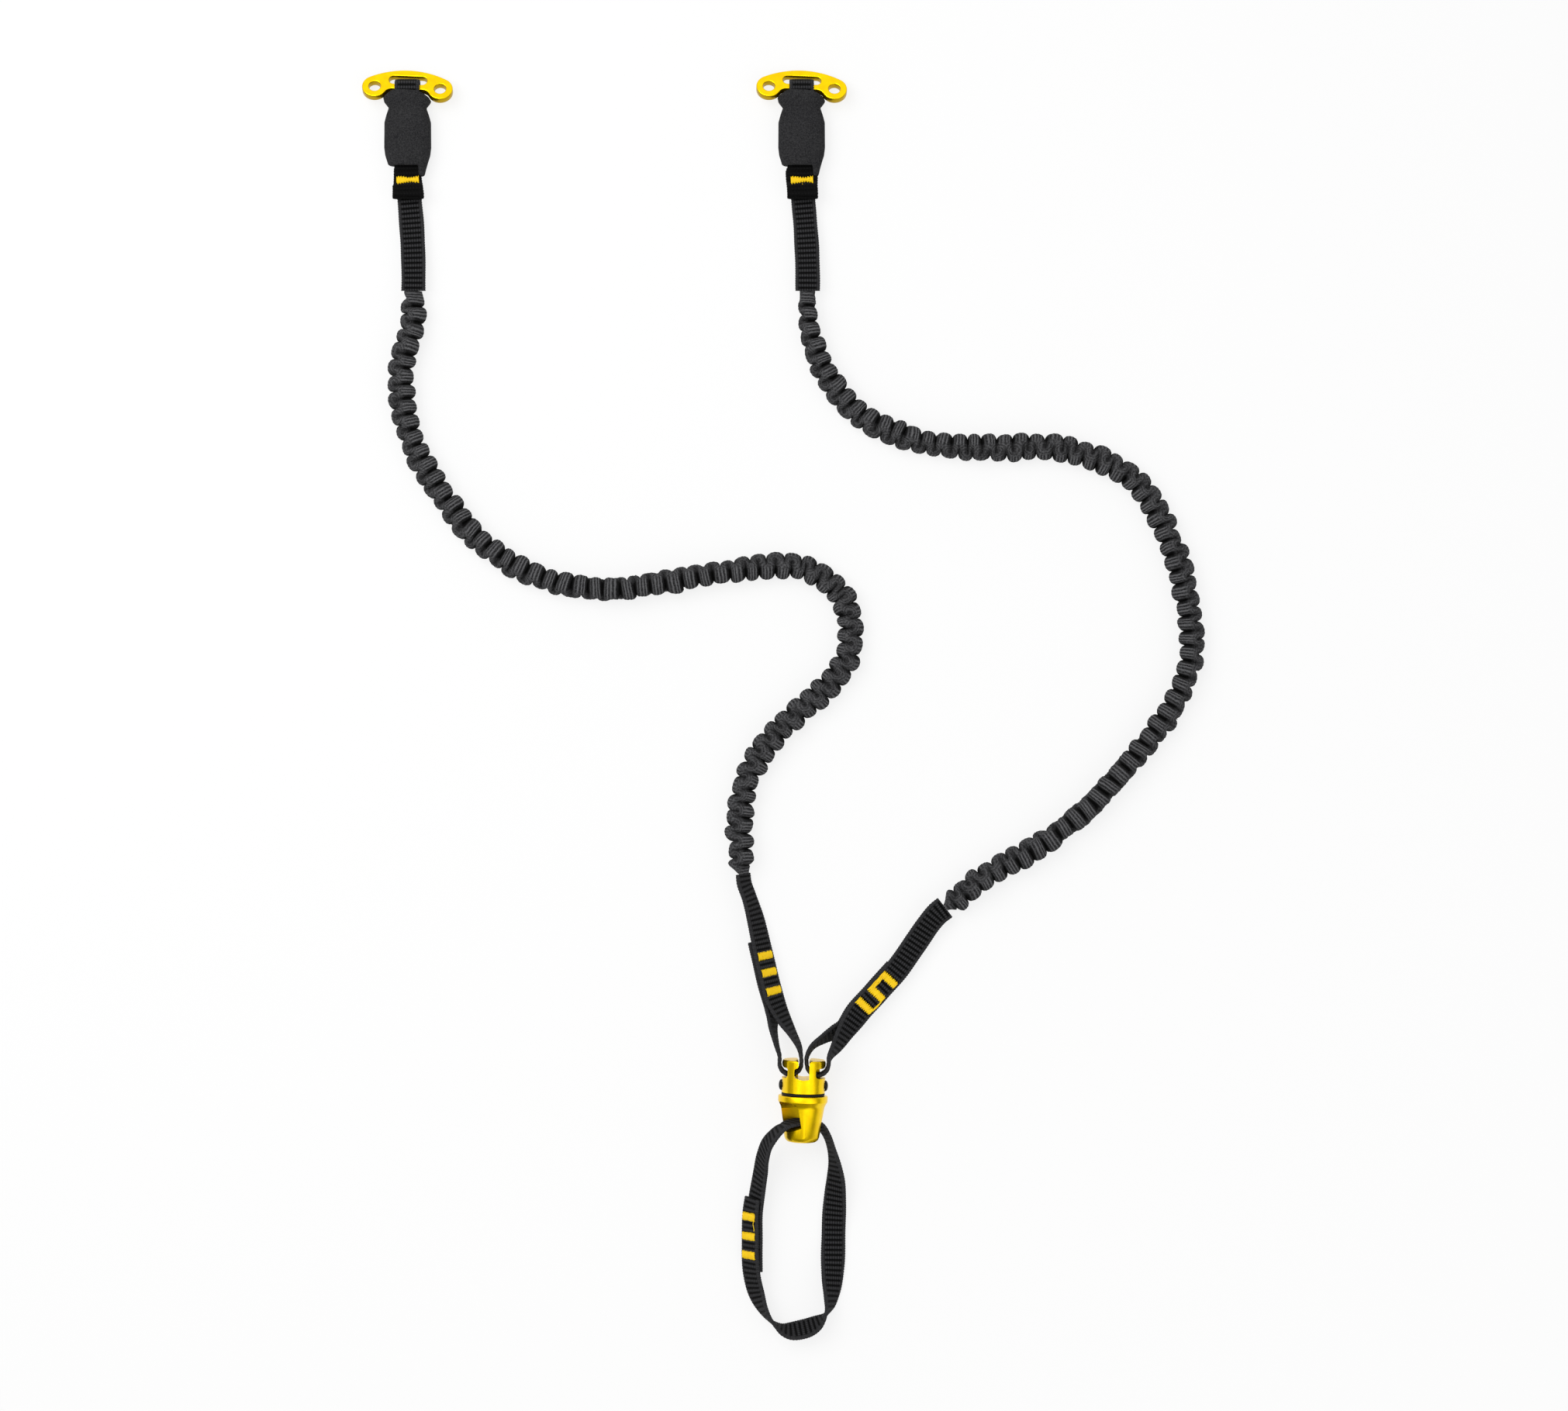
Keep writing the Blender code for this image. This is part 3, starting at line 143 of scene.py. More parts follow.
def smooth(points, step):
    """A centripetal Catmull-Rom curve through the points, sampled about every step."""
    keys = np.array(points, float)
    keys = np.vstack([2 * keys[0] - keys[1], keys, 2 * keys[-1] - keys[-2]])
    found = []
    for p0, p1, p2, p3 in zip(keys, keys[1:], keys[2:], keys[3:]):
        gaps = [math.sqrt(math.dist(a[:3], b[:3])) for a, b in ((p0, p1), (p1, p2), (p2, p3))]
        t1, t2, t3 = np.cumsum(gaps)
        count = max(1, round(math.dist(p1[:3], p2[:3]) / step))
        for t in np.linspace(t1, t2, count, endpoint=False):
            a1 = p0 + (p1 - p0) * t / t1
            a2 = p1 + (p2 - p1) * (t - t1) / (t2 - t1)
            a3 = p2 + (p3 - p2) * (t - t2) / (t3 - t2)
            b1 = a1 + (a2 - a1) * t / t2
            b2 = a2 + (a3 - a2) * (t - t1) / (t3 - t1)
            found.append(b1 + (b2 - b1) * (t - t1) / (t2 - t1))
    return np.array(found + [keys[-2]])


def spaced(points, count):
    """The same curve as count points at equal distances along it, with its length."""
    runs = np.r_[0, np.cumsum(np.linalg.norm(np.diff(points[:, :3], axis=0), axis=1))]
    at = np.linspace(0, runs[-1], count)
    return np.column_stack([np.interp(at, runs, column) for column in points.T]), runs[-1]


def ease(low, high, value):
    """0 below low, 1 above high and a smooth step between them."""
    t = np.clip((value - low) / (high - low), 0, 1)
    return t * t * (3 - 2 * t)


def superellipse(columns, power):
    """Across and up on a rounded square of half-size 1, once round it from one side."""
    angle = np.linspace(0, math.tau, columns + 1)
    c, s = np.cos(angle), np.sin(angle)
    s[[0, -1]] = 0
    return np.sign(c) * abs(c) ** (2 / power), np.sign(s) * abs(s) ** (2 / power)


def shown(name, mesh, skin):
    """An object in the scene from a finished mesh."""
    mesh.shade_smooth()
    mesh.materials.clear()
    mesh.materials.append(skin)
    obj = bpy.data.objects.new(name, mesh)
    scene.collection.objects.link(obj)
    return obj


def surface(name, points, along, around, skin, **values):
    """A mesh over a grid of points in mm, joined where its edges meet, with UVs in mm."""
    rows, columns = points.shape[:2]
    bm = bmesh.new()
    bmesh.ops.create_grid(bm, x_segments=rows - 1, y_segments=columns - 1, size=1)
    mesh = bpy.data.meshes.new(name)
    bm.to_mesh(mesh)
    flat = np.empty(len(mesh.vertices) * 3)
    mesh.vertices.foreach_get("co", flat)
    flat = flat.reshape(-1, 3)
    row = np.rint((flat[:, 0] + 1) / 2 * (rows - 1)).astype(int)
    column = np.rint((flat[:, 1] + 1) / 2 * (columns - 1)).astype(int)
    mesh.vertices.foreach_set("co", (points[row, column] * MM).ravel())
    corner = np.empty(len(mesh.loops), np.int32)
    mesh.loops.foreach_get("vertex_index", corner)
    whole = [np.broadcast_to(value, (rows, columns))[row, column] for value in (along, around)]
    layer = mesh.uv_layers.new(name="UVMap")
    layer.uv.foreach_set("vector", np.stack(whole, 1)[corner].ravel())
    for key, value in values.items():
        spread = mesh.attributes.new(key, "FLOAT", "POINT")
        spread.data.foreach_set("value", np.broadcast_to(value, (rows, columns))[row, column])
    bm.clear()
    bm.from_mesh(mesh)
    bmesh.ops.remove_doubles(bm, verts=bm.verts, dist=2e-6)
    bmesh.ops.recalc_face_normals(bm, faces=bm.faces)
    bm.to_mesh(mesh)
    bm.free()
    return shown(name, mesh, skin)


def srgb(code):
    """A colour from its hex code, as it is seen."""
    parts = [int(code[i:i + 2], 16) / 255 for i in (1, 3, 5)]
    return (*[p / 12.92 if p < 0.04045 else ((p + 0.055) / 1.055) ** 2.4 for p in parts], 1)


def node(tree, kind, inputs=None, **settings):
    """A new shader node with its settings made, and its sockets set or linked."""
    made = tree.nodes.new("ShaderNode" + kind)
    for key, value in settings.items():
        setattr(made, key, value)
    for key, value in (inputs or {}).items():
        if isinstance(value, bpy.types.NodeSocket):
            tree.links.new(value, made.inputs[key])
        else:
            made.inputs[key].default_value = value
    return made


def maths(tree, operation, *values):
    """The result of a Math node on up to three values or sockets."""
    return node(tree, "Math", dict(enumerate(values)), operation=operation).outputs[0]


def mixed(tree, factor, low, high):
    """The colour between two colours."""
    return node(tree, "Mix", {0: factor, 6: low, 7: high}, data_type="RGBA").outputs[2]


def finish(name, **sockets):
    """A new material, its node tree and its shader with plain values set on its sockets."""
    made = bpy.data.materials.new(name)
    made.use_nodes = True
    tree = made.node_tree
    shader = tree.nodes["Principled BSDF"]
    for key, value in sockets.items():
        shader.inputs[key.replace("_", " ")].default_value = value
    return made, tree, shader


# Gathered nylon: charcoal, with a thin pale rib across each fold every 1.6 mm that curls round
# where the folds' edges pucker, the pale crests a painted highlight; painted shade, near black,
# down in the creases and inside the bore; and soft with short fibres
gathered_nylon, tree, shader = finish("gathered_nylon", Roughness=0.9, Specular_IOR_Level=0.12)
uv = node(tree, "SeparateXYZ", {0: node(tree, "UVMap").outputs[0]})
place = node(tree, "TexCoord").outputs["Object"]
fuzz = node(tree, "TexNoise", {"Vector": place, "Scale": 1500, "Detail": 3, "Roughness": 0.7})
patch = node(tree, "TexNoise", {"Vector": place, "Scale": 420, "Detail": 2})
sway = maths(tree, "MULTIPLY", patch.outputs[0], 9.0)
rib = maths(tree, "MULTIPLY_ADD", patch.outputs[0], 3.0, maths(
    tree, "MULTIPLY", uv.outputs[0], math.tau / (FOLD / 5)))
curl = node(tree, "Attribute", attribute_name="curl").outputs["Fac"]
curl = maths(tree, "MULTIPLY_ADD", curl, math.tau / 1.5, sway)
edge = node(tree, "Attribute", attribute_name="edge").outputs["Fac"]
rib = maths(tree, "COSINE", rib)
curl = maths(tree, "MULTIPLY", maths(tree, "COSINE", curl), 0.4)
rib = node(tree, "Mix", {0: edge, 2: rib, 3: curl}).outputs[0]
rib = maths(tree, "POWER", maths(tree, "MULTIPLY_ADD", rib, 0.5, 0.5), 1.6)
raised_and_painted_highlight = maths(tree, "MULTIPLY_ADD", rib, 0.5, fuzz.outputs[0])
tone = node(tree, "MapRange", {0: raised_and_painted_highlight, 1: 0.45, 2: 1.0}).outputs[0]
# Painted highlight: the ribs' raised crests coloured pale over the charcoal
skin = mixed(tree, tone, srgb("#1a1a1b"), srgb("#646466"))
crease = node(tree, "Attribute", attribute_name="crease").outputs["Fac"]
# Painted shade: near black in the creases between folds, at the puckers and inside the bore
skin = mixed(tree, maths(tree, "POWER", crease, 0.8), skin, srgb("#030303"))
tree.links.new(skin, shader.inputs["Base Color"])
bump = node(tree, "Bump", {"Strength": 0.8, "Distance": 0.0006, "Height": raised_and_painted_highlight})
tree.links.new(bump.outputs[0], shader.inputs["Normal"])

# The elastic's cover: a plain braid, grey on black, seen only where a fold opens
braided_cover, tree, shader = finish("braided_elastic_cover", Roughness=0.8)
uv = node(tree, "UVMap").outputs[0]
braid = node(tree, "TexChecker", {
    "Vector": uv, "Scale": 0.9, "Color1": srgb("#1c1c1c"), "Color2": srgb("#3a3a3a")})
tree.links.new(braid.outputs[0], shader.inputs["Base Color"])
bump = node(tree, "Bump", {"Strength": 0.5, "Distance": 0.0003, "Height": braid.outputs[1]})
tree.links.new(bump.outputs[0], shader.inputs["Normal"])


def tube_line(route, twist):
    """At every half millimetre of a tube: its place, its direction, and its folds' facing."""
    line, length = spaced(smooth([(x, y, 0) for x, y in route], 1.0), 1001)
    ahead = np.gradient(line, axis=0)
    ahead /= np.linalg.norm(ahead, axis=1)[:, None]
    at = np.linspace(0, length, len(line))
    turn = np.interp(at, *np.array(twist).T)
    turn = np.convolve(np.pad(turn, 20, "edge"), np.ones(41) / 41, "valid")
    turn = np.radians(turn)[:, None]
    up = np.array((0, 0, 1.0))
    facing = np.cos(turn) * up + np.sin(turn) * np.cross(ahead, up)
    tall = np.hypot(TUBE_SIZE[1] * np.cos(turn), TUBE_SIZE[0] * np.sin(turn))
    line[:, 2] = tall[:, 0] + OFF_FLOOR
    return line, length, ahead, facing


def gathered_tube(name, route, twist, slim, seed):
    """The folded outside, and the bore inside it, as one closed skin. slim narrows its top."""
    rng = np.random.default_rng(seed)
    line, length, ahead, facing = tube_line(route, twist)
    folds = round(length / FOLD)
    t = np.arange(FOLD_STEPS) / FOLD_STEPS
    half = np.r_[0.25 * t**1.6, 0.5 - 0.25 * (1 - t) ** 1.6]
    fold = (np.arange(folds)[:, None] + np.r_[half, half + 0.5]).ravel()
    fold = np.r_[fold, folds][:, None]
    drift = rng.uniform(-0.08, 0.08, 2 * folds + 1)
    drift[[0, -1]] = 0
    halves = np.arange(2 * folds + 1) / 2
    at = (fold + np.interp(fold, halves, drift)) * length / folds
    across, up = superellipse(FOLD_COLUMNS, SECTION_ROUNDING)

    def lobe(turn):
        """How full a fold is: 0 in the crease at a whole turn, 1 half a turn on."""
        return (1 - abs(2 * (turn % 1) - 1) ** FOLD_ROUNDING) ** (1 / FOLD_ROUNDING)

    # Two rows of folds, each with its own slant, and each ending at a ragged line near the edge
    this = np.minimum(fold.astype(int), folds - 1)
    other = (fold + 0.5).astype(int)
    slant = rng.uniform(-0.13, 0.13, (2, folds + 2))
    reach = rng.uniform(-0.2, 0.2, (2, folds + 2))
    nearest, behind_it = np.rint(fold).astype(int), (fold + 0.5).round().astype(int)
    front_fold = fold + slant[0][nearest] * (1 - up)
    back_fold = fold + 0.5 + slant[1][behind_it] * (1 + up)
    front = ease(-0.4, 0.0, up + reach[0][nearest])
    back = ease(-0.4, 0.0, -up + reach[1][behind_it])
    crease = np.maximum(front * (1 - lobe(front_fold)), back * (1 - lobe(back_fold)))
    gap = np.maximum(front * ease(0.5, 0.88, abs(2 * (front_fold % 1) - 1)),
                     back * ease(0.5, 0.88, abs(2 * (back_fold % 1) - 1)))

    # The edges pucker between the folds, and each fold has its own size, lean and place
    edge = ease(0.72, 0.96, abs(across))
    from_pucker = np.hypot((fold - nearest) * FOLD, up * TUBE_SIZE[1] + reach[0][nearest] * 5)
    pucker = edge * (1 - ease(0.2, 1.8, from_pucker))
    full = 1 - FOLD_DEPTH * crease - 0.14 * pucker * (1 - crease)
    in_front, behind = ease(-0.2, 0.7, up), ease(-0.2, 0.7, -up)
    sizes = rng.uniform(0.88, 1.05, (4, folds + 1))
    tall = 1 + in_front * (sizes[0][this] - 1) + behind * (sizes[1][other] - 1)
    wide = 1 + in_front * (sizes[2][this] - 1) + behind * (sizes[3][other] - 1)
    aside = rng.normal(0, 0.4, (2, folds + 1))
    aside = in_front * aside[0][this] + behind * aside[1][other]
    lean = rng.normal(0, 0.07, (2, folds + 1))
    lean = in_front * lean[0][this] + behind * lean[1][other]

    # Small crumples everywhere, deeper near the swivel, and five ribs to a fold
    crumple = 0
    round_it = np.linspace(0, math.tau, FOLD_COLUMNS + 1)
    for wave in (2.3, 3.7, 6.1, 9.7):
        spin, phase = rng.integers(1, 4), rng.uniform(0, 7, 2)
        crumple = crumple + np.sin(at / wave + phase[0]) * np.sin(spin * round_it + phase[1])
    rough = 0.16 + 0.25 * ease(length - 90, length - 40, at)
    ribs = RIB_HEIGHT * np.cos(math.tau * 5 * fold) * (1 - crease)
    taper = ease(0, TAPER, at) * ease(0, TAPER, length - at)
    narrow = slim + (1 - slim) * ease(4, 45, at)
    half_wide = (END_SIZE[0] + (TUBE_SIZE[0] - END_SIZE[0]) * taper) * narrow
    half_tall = (END_SIZE[1] + (TUBE_SIZE[1] - END_SIZE[1]) * taper) * narrow
    grow = (ribs + rough * crumple) * taper
    a = across * (half_wide * wide * full + grow) + aside * taper
    n = up * (half_tall * tall * full + grow)
    shift = lean * a * taper + at
    key = np.linspace(0, length, len(line))

    def along_line(values, where):
        """The values given along the tube, at any places along it."""
        return np.stack([np.interp(where, key, column) for column in values.T], -1)

    sideways = np.cross(ahead, facing)
    outer = along_line(line, shift)
    outer = outer + along_line(sideways, at) * a[..., None]
    outer = outer + along_line(facing, at) * n[..., None]
    deep = np.linspace(length, 0, BORE_ROWS)[:, None]
    closing = ease(-1, 8, deep) * ease(-1, 8, length - deep)
    bore_a, bore_n = superellipse(FOLD_COLUMNS, 2)
    bore_a = bore_a * (BORE_RADIUS * (0.6 + 0.4 * closing))
    bore_n = bore_n * (0.4 + (BORE_RADIUS - 0.4) * closing)
    inner = along_line(line, deep) + along_line(sideways, deep) * bore_a[..., None]
    inner = inner + along_line(facing, deep) * bore_n[..., None]
    points = np.vstack([outer, inner, outer[:1]])
    points[..., 2] = np.maximum(points[..., 2], 0.06)
    rim = np.hypot(np.diff(across) * TUBE_SIZE[0], np.diff(up) * TUBE_SIZE[1])
    rim = np.r_[0, np.cumsum(rim)]
    runs = np.vstack([fold * FOLD, deep, [[0]]])
    inside = np.ones((len(deep) + 1, FOLD_COLUMNS + 1))
    # Painted shade, near black: in the gaps between the folds, at the puckered edges, and all
    # over the inside of the bore
    painted_shade = np.vstack([np.maximum(gap * (1 - 0.6 * edge), 0.6 * pucker) * taper, inside])
    return surface(
        name, points, runs, rim, gathered_nylon, crease=painted_shade,
        curl=np.vstack([from_pucker, inside]), edge=np.vstack([edge + 0 * fold, 0 * inside]))


def elastic_core(name, route, twist):
    """The covered elastic in the bore. It ends short of the tube, sewn to the tapes."""
    line, length, ahead, facing = tube_line(route, twist)
    inside = line[CORE_SHORT:-CORE_SHORT]
    sideways = np.cross(ahead, facing)[CORE_SHORT:-CORE_SHORT, None]
    across, up = superellipse(16, 2)
    size = CORE_RADIUS * np.ones(len(inside))
    size[[0, -1]] = 0
    size[[1, -2]] = CORE_RADIUS - 0.4
    size = size[:, None, None]
    points = inside[:, None] + size * across[:, None] * sideways
    points = points + size * up[:, None] * facing[CORE_SHORT:-CORE_SHORT, None]
    runs = np.linspace(0, length, len(inside))[:, None]
    rim = np.linspace(0, math.tau * CORE_RADIUS, 17)
    return surface(name, points, runs, rim, braided_cover)


TUBES = (  # side, route, twist, how slim its top is, and where its stretch starts and ends
    ("left", LEFT_TUBE, LEFT_TWIST, 0.92, (0.0453, -0.0868), (-0.2105, 0.0371)),
    ("right", RIGHT_TUBE, RIGHT_TWIST, 0.76, (0.1496, -0.1042), (-0.0328, -0.0158)),
)
for number, (side, route, twist, slim, start, end) in enumerate(TUBES):
    tube = gathered_tube(f"{side}_gathered_tube", route, twist, slim, 11 + number)
    core = elastic_core(f"{side}_covered_elastic", route, twist)
    for piece, name in ((tube, "elastic_tube"), (core, "elastic_core")):
        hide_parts(f"{side}_{name}")
        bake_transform(piece)
    line, length, _, _ = tube_line(route, twist)

# Floor, light and air: a white sheet of paper under two wide, soft lamps. The camera sees it
# and the air as white, and it still takes the leash's shadow. Shiny metal sees the air bright
# overhead and on the far side, and dim low down, which gives it its dark flanks.
paper, tree, shader = finish("paper_floor", Roughness=0.9)
shader.inputs["Base Color"].default_value = srgb("#f4f4f4")
rays = node(tree, "LightPath")
seen = maths(tree, "MAXIMUM", rays.outputs["Is Camera Ray"], rays.outputs["Is Glossy Ray"])
seen = maths(tree, "MAXIMUM", seen, rays.outputs["Is Transmission Ray"])
glow = node(tree, "Emission", {"Color": srgb("#ffffff"), "Strength": 1.0})
both = node(tree, "MixShader", {0: maths(tree, "MULTIPLY", seen, 0.8), 1: shader.outputs[0],
                                2: glow.outputs[0]})
tree.links.new(both.outputs[0], tree.nodes["Material Output"].inputs["Surface"])
bm = bmesh.new()
bmesh.ops.create_grid(bm, x_segments=1, y_segments=1, size=10)
mesh = bpy.data.meshes.new("floor")
bm.to_mesh(mesh)
bm.free()
shown("floor", mesh, paper)

for name, place, size, power in (
    ("key_light", (-0.6, 0.5, 1.3), 1.2, 15), ("fill_light", (0.9, -0.7, 1.1), 1.4, 5),
):
    lamp = bpy.data.objects.new(name, bpy.data.lights.new(name, "AREA"))
    lamp.data.size = size
    lamp.data.energy = power
    lamp.location = place
    lamp.rotation_euler = Vector(place).to_track_quat("Z", "Y").to_euler()
    scene.collection.objects.link(lamp)

scene.world = bpy.data.worlds.new("air")
scene.world.use_nodes = True
tree = scene.world.node_tree
air = tree.nodes["Background"]
rays = node(tree, "LightPath")
seen = maths(tree, "MAXIMUM", rays.outputs["Is Camera Ray"], rays.outputs["Is Transmission Ray"])
towards = node(tree, "SeparateXYZ", {0: node(tree, "TexCoord").outputs["Generated"]})
height = maths(tree, "MULTIPLY_ADD", towards.outputs[1], 0.6, towards.outputs[2])
sky = node(tree, "MapRange", {0: height, 1: 0.2, 2: 1.0, 3: 0.2, 4: 1.2}).outputs[0]
level = node(tree, "Mix", {0: rays.outputs["Is Glossy Ray"], 2: 0.5, 3: sky}).outputs[0]
level = maths(tree, "MAXIMUM", level, seen)
tree.links.new(level, air.inputs["Strength"])
air.inputs["Color"].default_value = srgb("#ffffff")
scene.view_settings.view_transform = "Standard"

# Webbing: flat nylon strap, woven in ribs across it, with a smoother selvedge along each
# edge. Each arm has one from the axe plate to its tube and one from the tube to the swivel,
# and the tie-in loop is a fifth.
WEB_WIDTH = 12.5
HALF_WEB = WEB_WIDTH / 2
WEB_THICK = 2.3
WEB_STEP = 0.44
WEB_COLUMNS = 28
LAYER_STEP = 2.6
RIB_STEP = 2.6
SELVEDGE = 1.15
HEM_BEND = 1.35
BAR_Y = 318.5
BAR_Z = 6.4
WRAP_RADIUS = math.hypot(3.2, 4.0) / 2 + WEB_THICK / 2 + 0.14
STRAP_Z = 5.8
STRAP_SHIFT = 3.1
BAR_X = {"left": -124.8 - STRAP_SHIFT, "right": 78.6 - STRAP_SHIFT}
FOLD_END = 55.0
TUBE_HEIGHT = 7.6
SWIVEL_X = 76.7
SWIVEL_Z = 12.85
EYE_Y = -184.2
EYE_WRAP = 5.65
EYE_OFFSET = 7.0
SWIVEL_LEAN = -1.8
CROWN_Y = -228.8  # of the line that the yoke's bar is rounded about
WINDOW_TURN = -53  # how far the window is turned to the left from straight up
LOOP_RADIUS = 15.05

LEFT_TAPE = (
    (48.3, -98.6, 7.4, -32), (51.4, -108.9, 7.5, -40), (54.2, -121.0, 8.1, -46),
    (56.4, -130.8, 8.7, -47), (59.2, -142.4, 9.5, -47), (61.8, -151.8, 10.1, -46),
    (66.0, -161.0, 10.9, -32), (70.6, -168.8, 11.8, -15), (74.2, -175.8, 12.6, -6),
    (75.2, -180.8, SWIVEL_Z, 0),
)
LEFT_RETURN = (
    (64.2, -180.8, SWIVEL_Z, 0), (62.4, -174.0, 12.4, 5), (60.7, -165.6, 11.0, 16),
    (60.6, -158.8, 9.4, 32),
)
RIGHT_TAPE = (
    (141.2, -112.6, 7.0, -80), (134.2, -122.8, 6.4, -80), (124.6, -136.4, 6.8, -80),
    (114.8, -147.4, 8.0, -80), (106.0, -156.8, 9.4, -80), (98.8, -166.8, 10.9, -50),
    (93.6, -175.4, 12.2, -30), (90.2, -180.8, SWIVEL_Z, -12),
)
RIGHT_RETURN = (
    (78.2, -180.8, SWIVEL_Z, 4), (81.0, -175.6, 12.2, 12), (87.0, -171.4, 10.6, 24),
    (92.6, -168.4, 9.5, 38),
)
LOOP_UP = (
    (51.0, -292.0, 5.6, -40), (51.0, -284.0, 5.6, -40), (51.0, -276.0, 5.6, -40),
    (51.2, -262.0, 5.6, -38), (52.2, -254.4, 5.9, -35), (53.2, -248.0, 6.8, -34),
    (54.4, -240.4, 9.0, -32), (55.6, -232.6, 12.6, -28), (57.6, -226.0, 16.6, -26),
    (60.2, -221.8, 18.8, -22), (63.8, -217.8, 19.6, -16), (67.2, -215.6, 19.0, -9),
)
LOOP_DOWN = (
    (84.7, -217.0, 7.6, 20), (88.4, -221.8, 6.6, 15), (90.8, -228.4, 6.5, 15),
    (92.6, -236.4, 6.2, 26), (93.2, -244.4, 5.4, 42), (92.8, -254.0, 3.9, 62),
    (92.2, -266.0, 2.2, 82), (91.9, -278.4, 2.0, 95), (91.7, -287.0, 2.8, 104),
    (91.4, -295.4, 4.3, 121), (90.9, -304.4, 5.8, 143), (89.9, -310.8, 6.3, 160),
    (87.6, -315.2, 6.4, 180), (84.4, -318.4, 6.2, 202), (79.9, -321.0, 5.7, 217),
    (74.4, -322.6, 5.6, 220), (69.8, -323.1, 6.0, 212), (65.8, -322.3, 6.3, 196),
    (62.2, -320.0, 6.4, 180), (59.0, -317.0, 6.4, 169), (55.5, -311.8, 6.2, 156),
    (52.0, -303.4, 5.6, 140), (49.8, -294.0, 6.4, 138),
)

# Black nylon webbing: rows of small knots with black valleys between them, the knots' grey a
# painted sheen and the valleys' black painted shade, and plain selvedges painted a lighter grey,
# a painted highlight for the light they catch
webbing_nylon, tree, shader = finish("nylon_webbing", Roughness=0.7, Specular_IOR_Level=0.08)
uv = node(tree, "SeparateXYZ", {0: node(tree, "UVMap").outputs[0]})
place = node(tree, "TexCoord").outputs["Object"]
rib = maths(tree, "COSINE", maths(tree, "MULTIPLY", uv.outputs[0], math.tau / RIB_STEP))
rib = maths(tree, "POWER", maths(tree, "MULTIPLY_ADD", rib, 0.5, 0.5), 0.5)
knot = maths(tree, "COSINE", maths(tree, "MULTIPLY", uv.outputs[1], math.tau / 1.3))
knot = maths(tree, "POWER", maths(tree, "MULTIPLY_ADD", knot, 0.5, 0.5), 0.6)
knot = maths(tree, "MULTIPLY_ADD", knot, 0.55, 0.45)
fibre = node(tree, "TexNoise", {"Vector": place, "Scale": 2600, "Detail": 2})
weave_and_painted_light = maths(tree, "MULTIPLY", rib, knot)
weave_and_painted_light = maths(tree, "MULTIPLY_ADD", fibre.outputs[0], 0.35, weave_and_painted_light)
tone = node(tree, "MapRange", {0: weave_and_painted_light, 1: 0.45, 2: 1.2}).outputs[0]
# Painted sheen and painted shade: the weave's raised knots coloured grey, its valleys black
skin = mixed(tree, tone, srgb("#020202"), srgb("#3c3c3e"))
edge = node(tree, "Attribute", attribute_name="selvedge").outputs["Fac"]
twill = maths(tree, "COSINE", maths(tree, "MULTIPLY", uv.outputs[0], math.tau / 0.65))
# Painted highlight: the selvedges' fine twill coloured a lighter grey than the body
plain = mixed(tree, maths(tree, "MULTIPLY_ADD", twill, 0.2, fibre.outputs[0]),
              srgb("#0a0a0b"), srgb("#444446"))
skin = mixed(tree, edge, skin, plain)
melt = node(tree, "Attribute", attribute_name="melt").outputs["Fac"]
# The hem's last folded stretch coloured almost black
skin = mixed(tree, melt, skin, srgb("#050505"))
tree.links.new(skin, shader.inputs["Base Color"])
bump = node(tree, "Bump", {"Strength": 1.0, "Distance": 0.0006, "Height": weave_and_painted_light})
tree.links.new(bump.outputs[0], shader.inputs["Normal"])


def strap_frames(route, upright=Vector((0, 0, 1))):
    """Along the strap, across it and out of its face, as a matrix at each route point. A
    point's fourth number is how far, in degrees, the strap's width is turned from upright."""
    places = [Vector(point[:3]) for point in route]
    frames = []
    for index, place in enumerate(places):
        ahead = places[min(index + 1, len(places) - 1)]
        behind = places[max(index - 1, 0)]
        along = (ahead - behind).normalized()
        level = (upright - along * upright.dot(along)).normalized()
        turn = Matrix.Rotation(math.radians(-route[index][3]), 3, along)
        across = turn @ level
        out = along.cross(across)
        frame = Matrix((along, across, out)).transposed().to_4x4()
        frames.append(Matrix.Translation(place) @ frame)
    return frames


def arc(centre, radius, start, end, count):
    """Points of a circular arc, angles in degrees, both ends included."""
    angle = np.radians(np.linspace(start, end, count))
    return list(zip(centre[0] + radius * np.cos(angle), centre[1] + radius * np.sin(angle)))


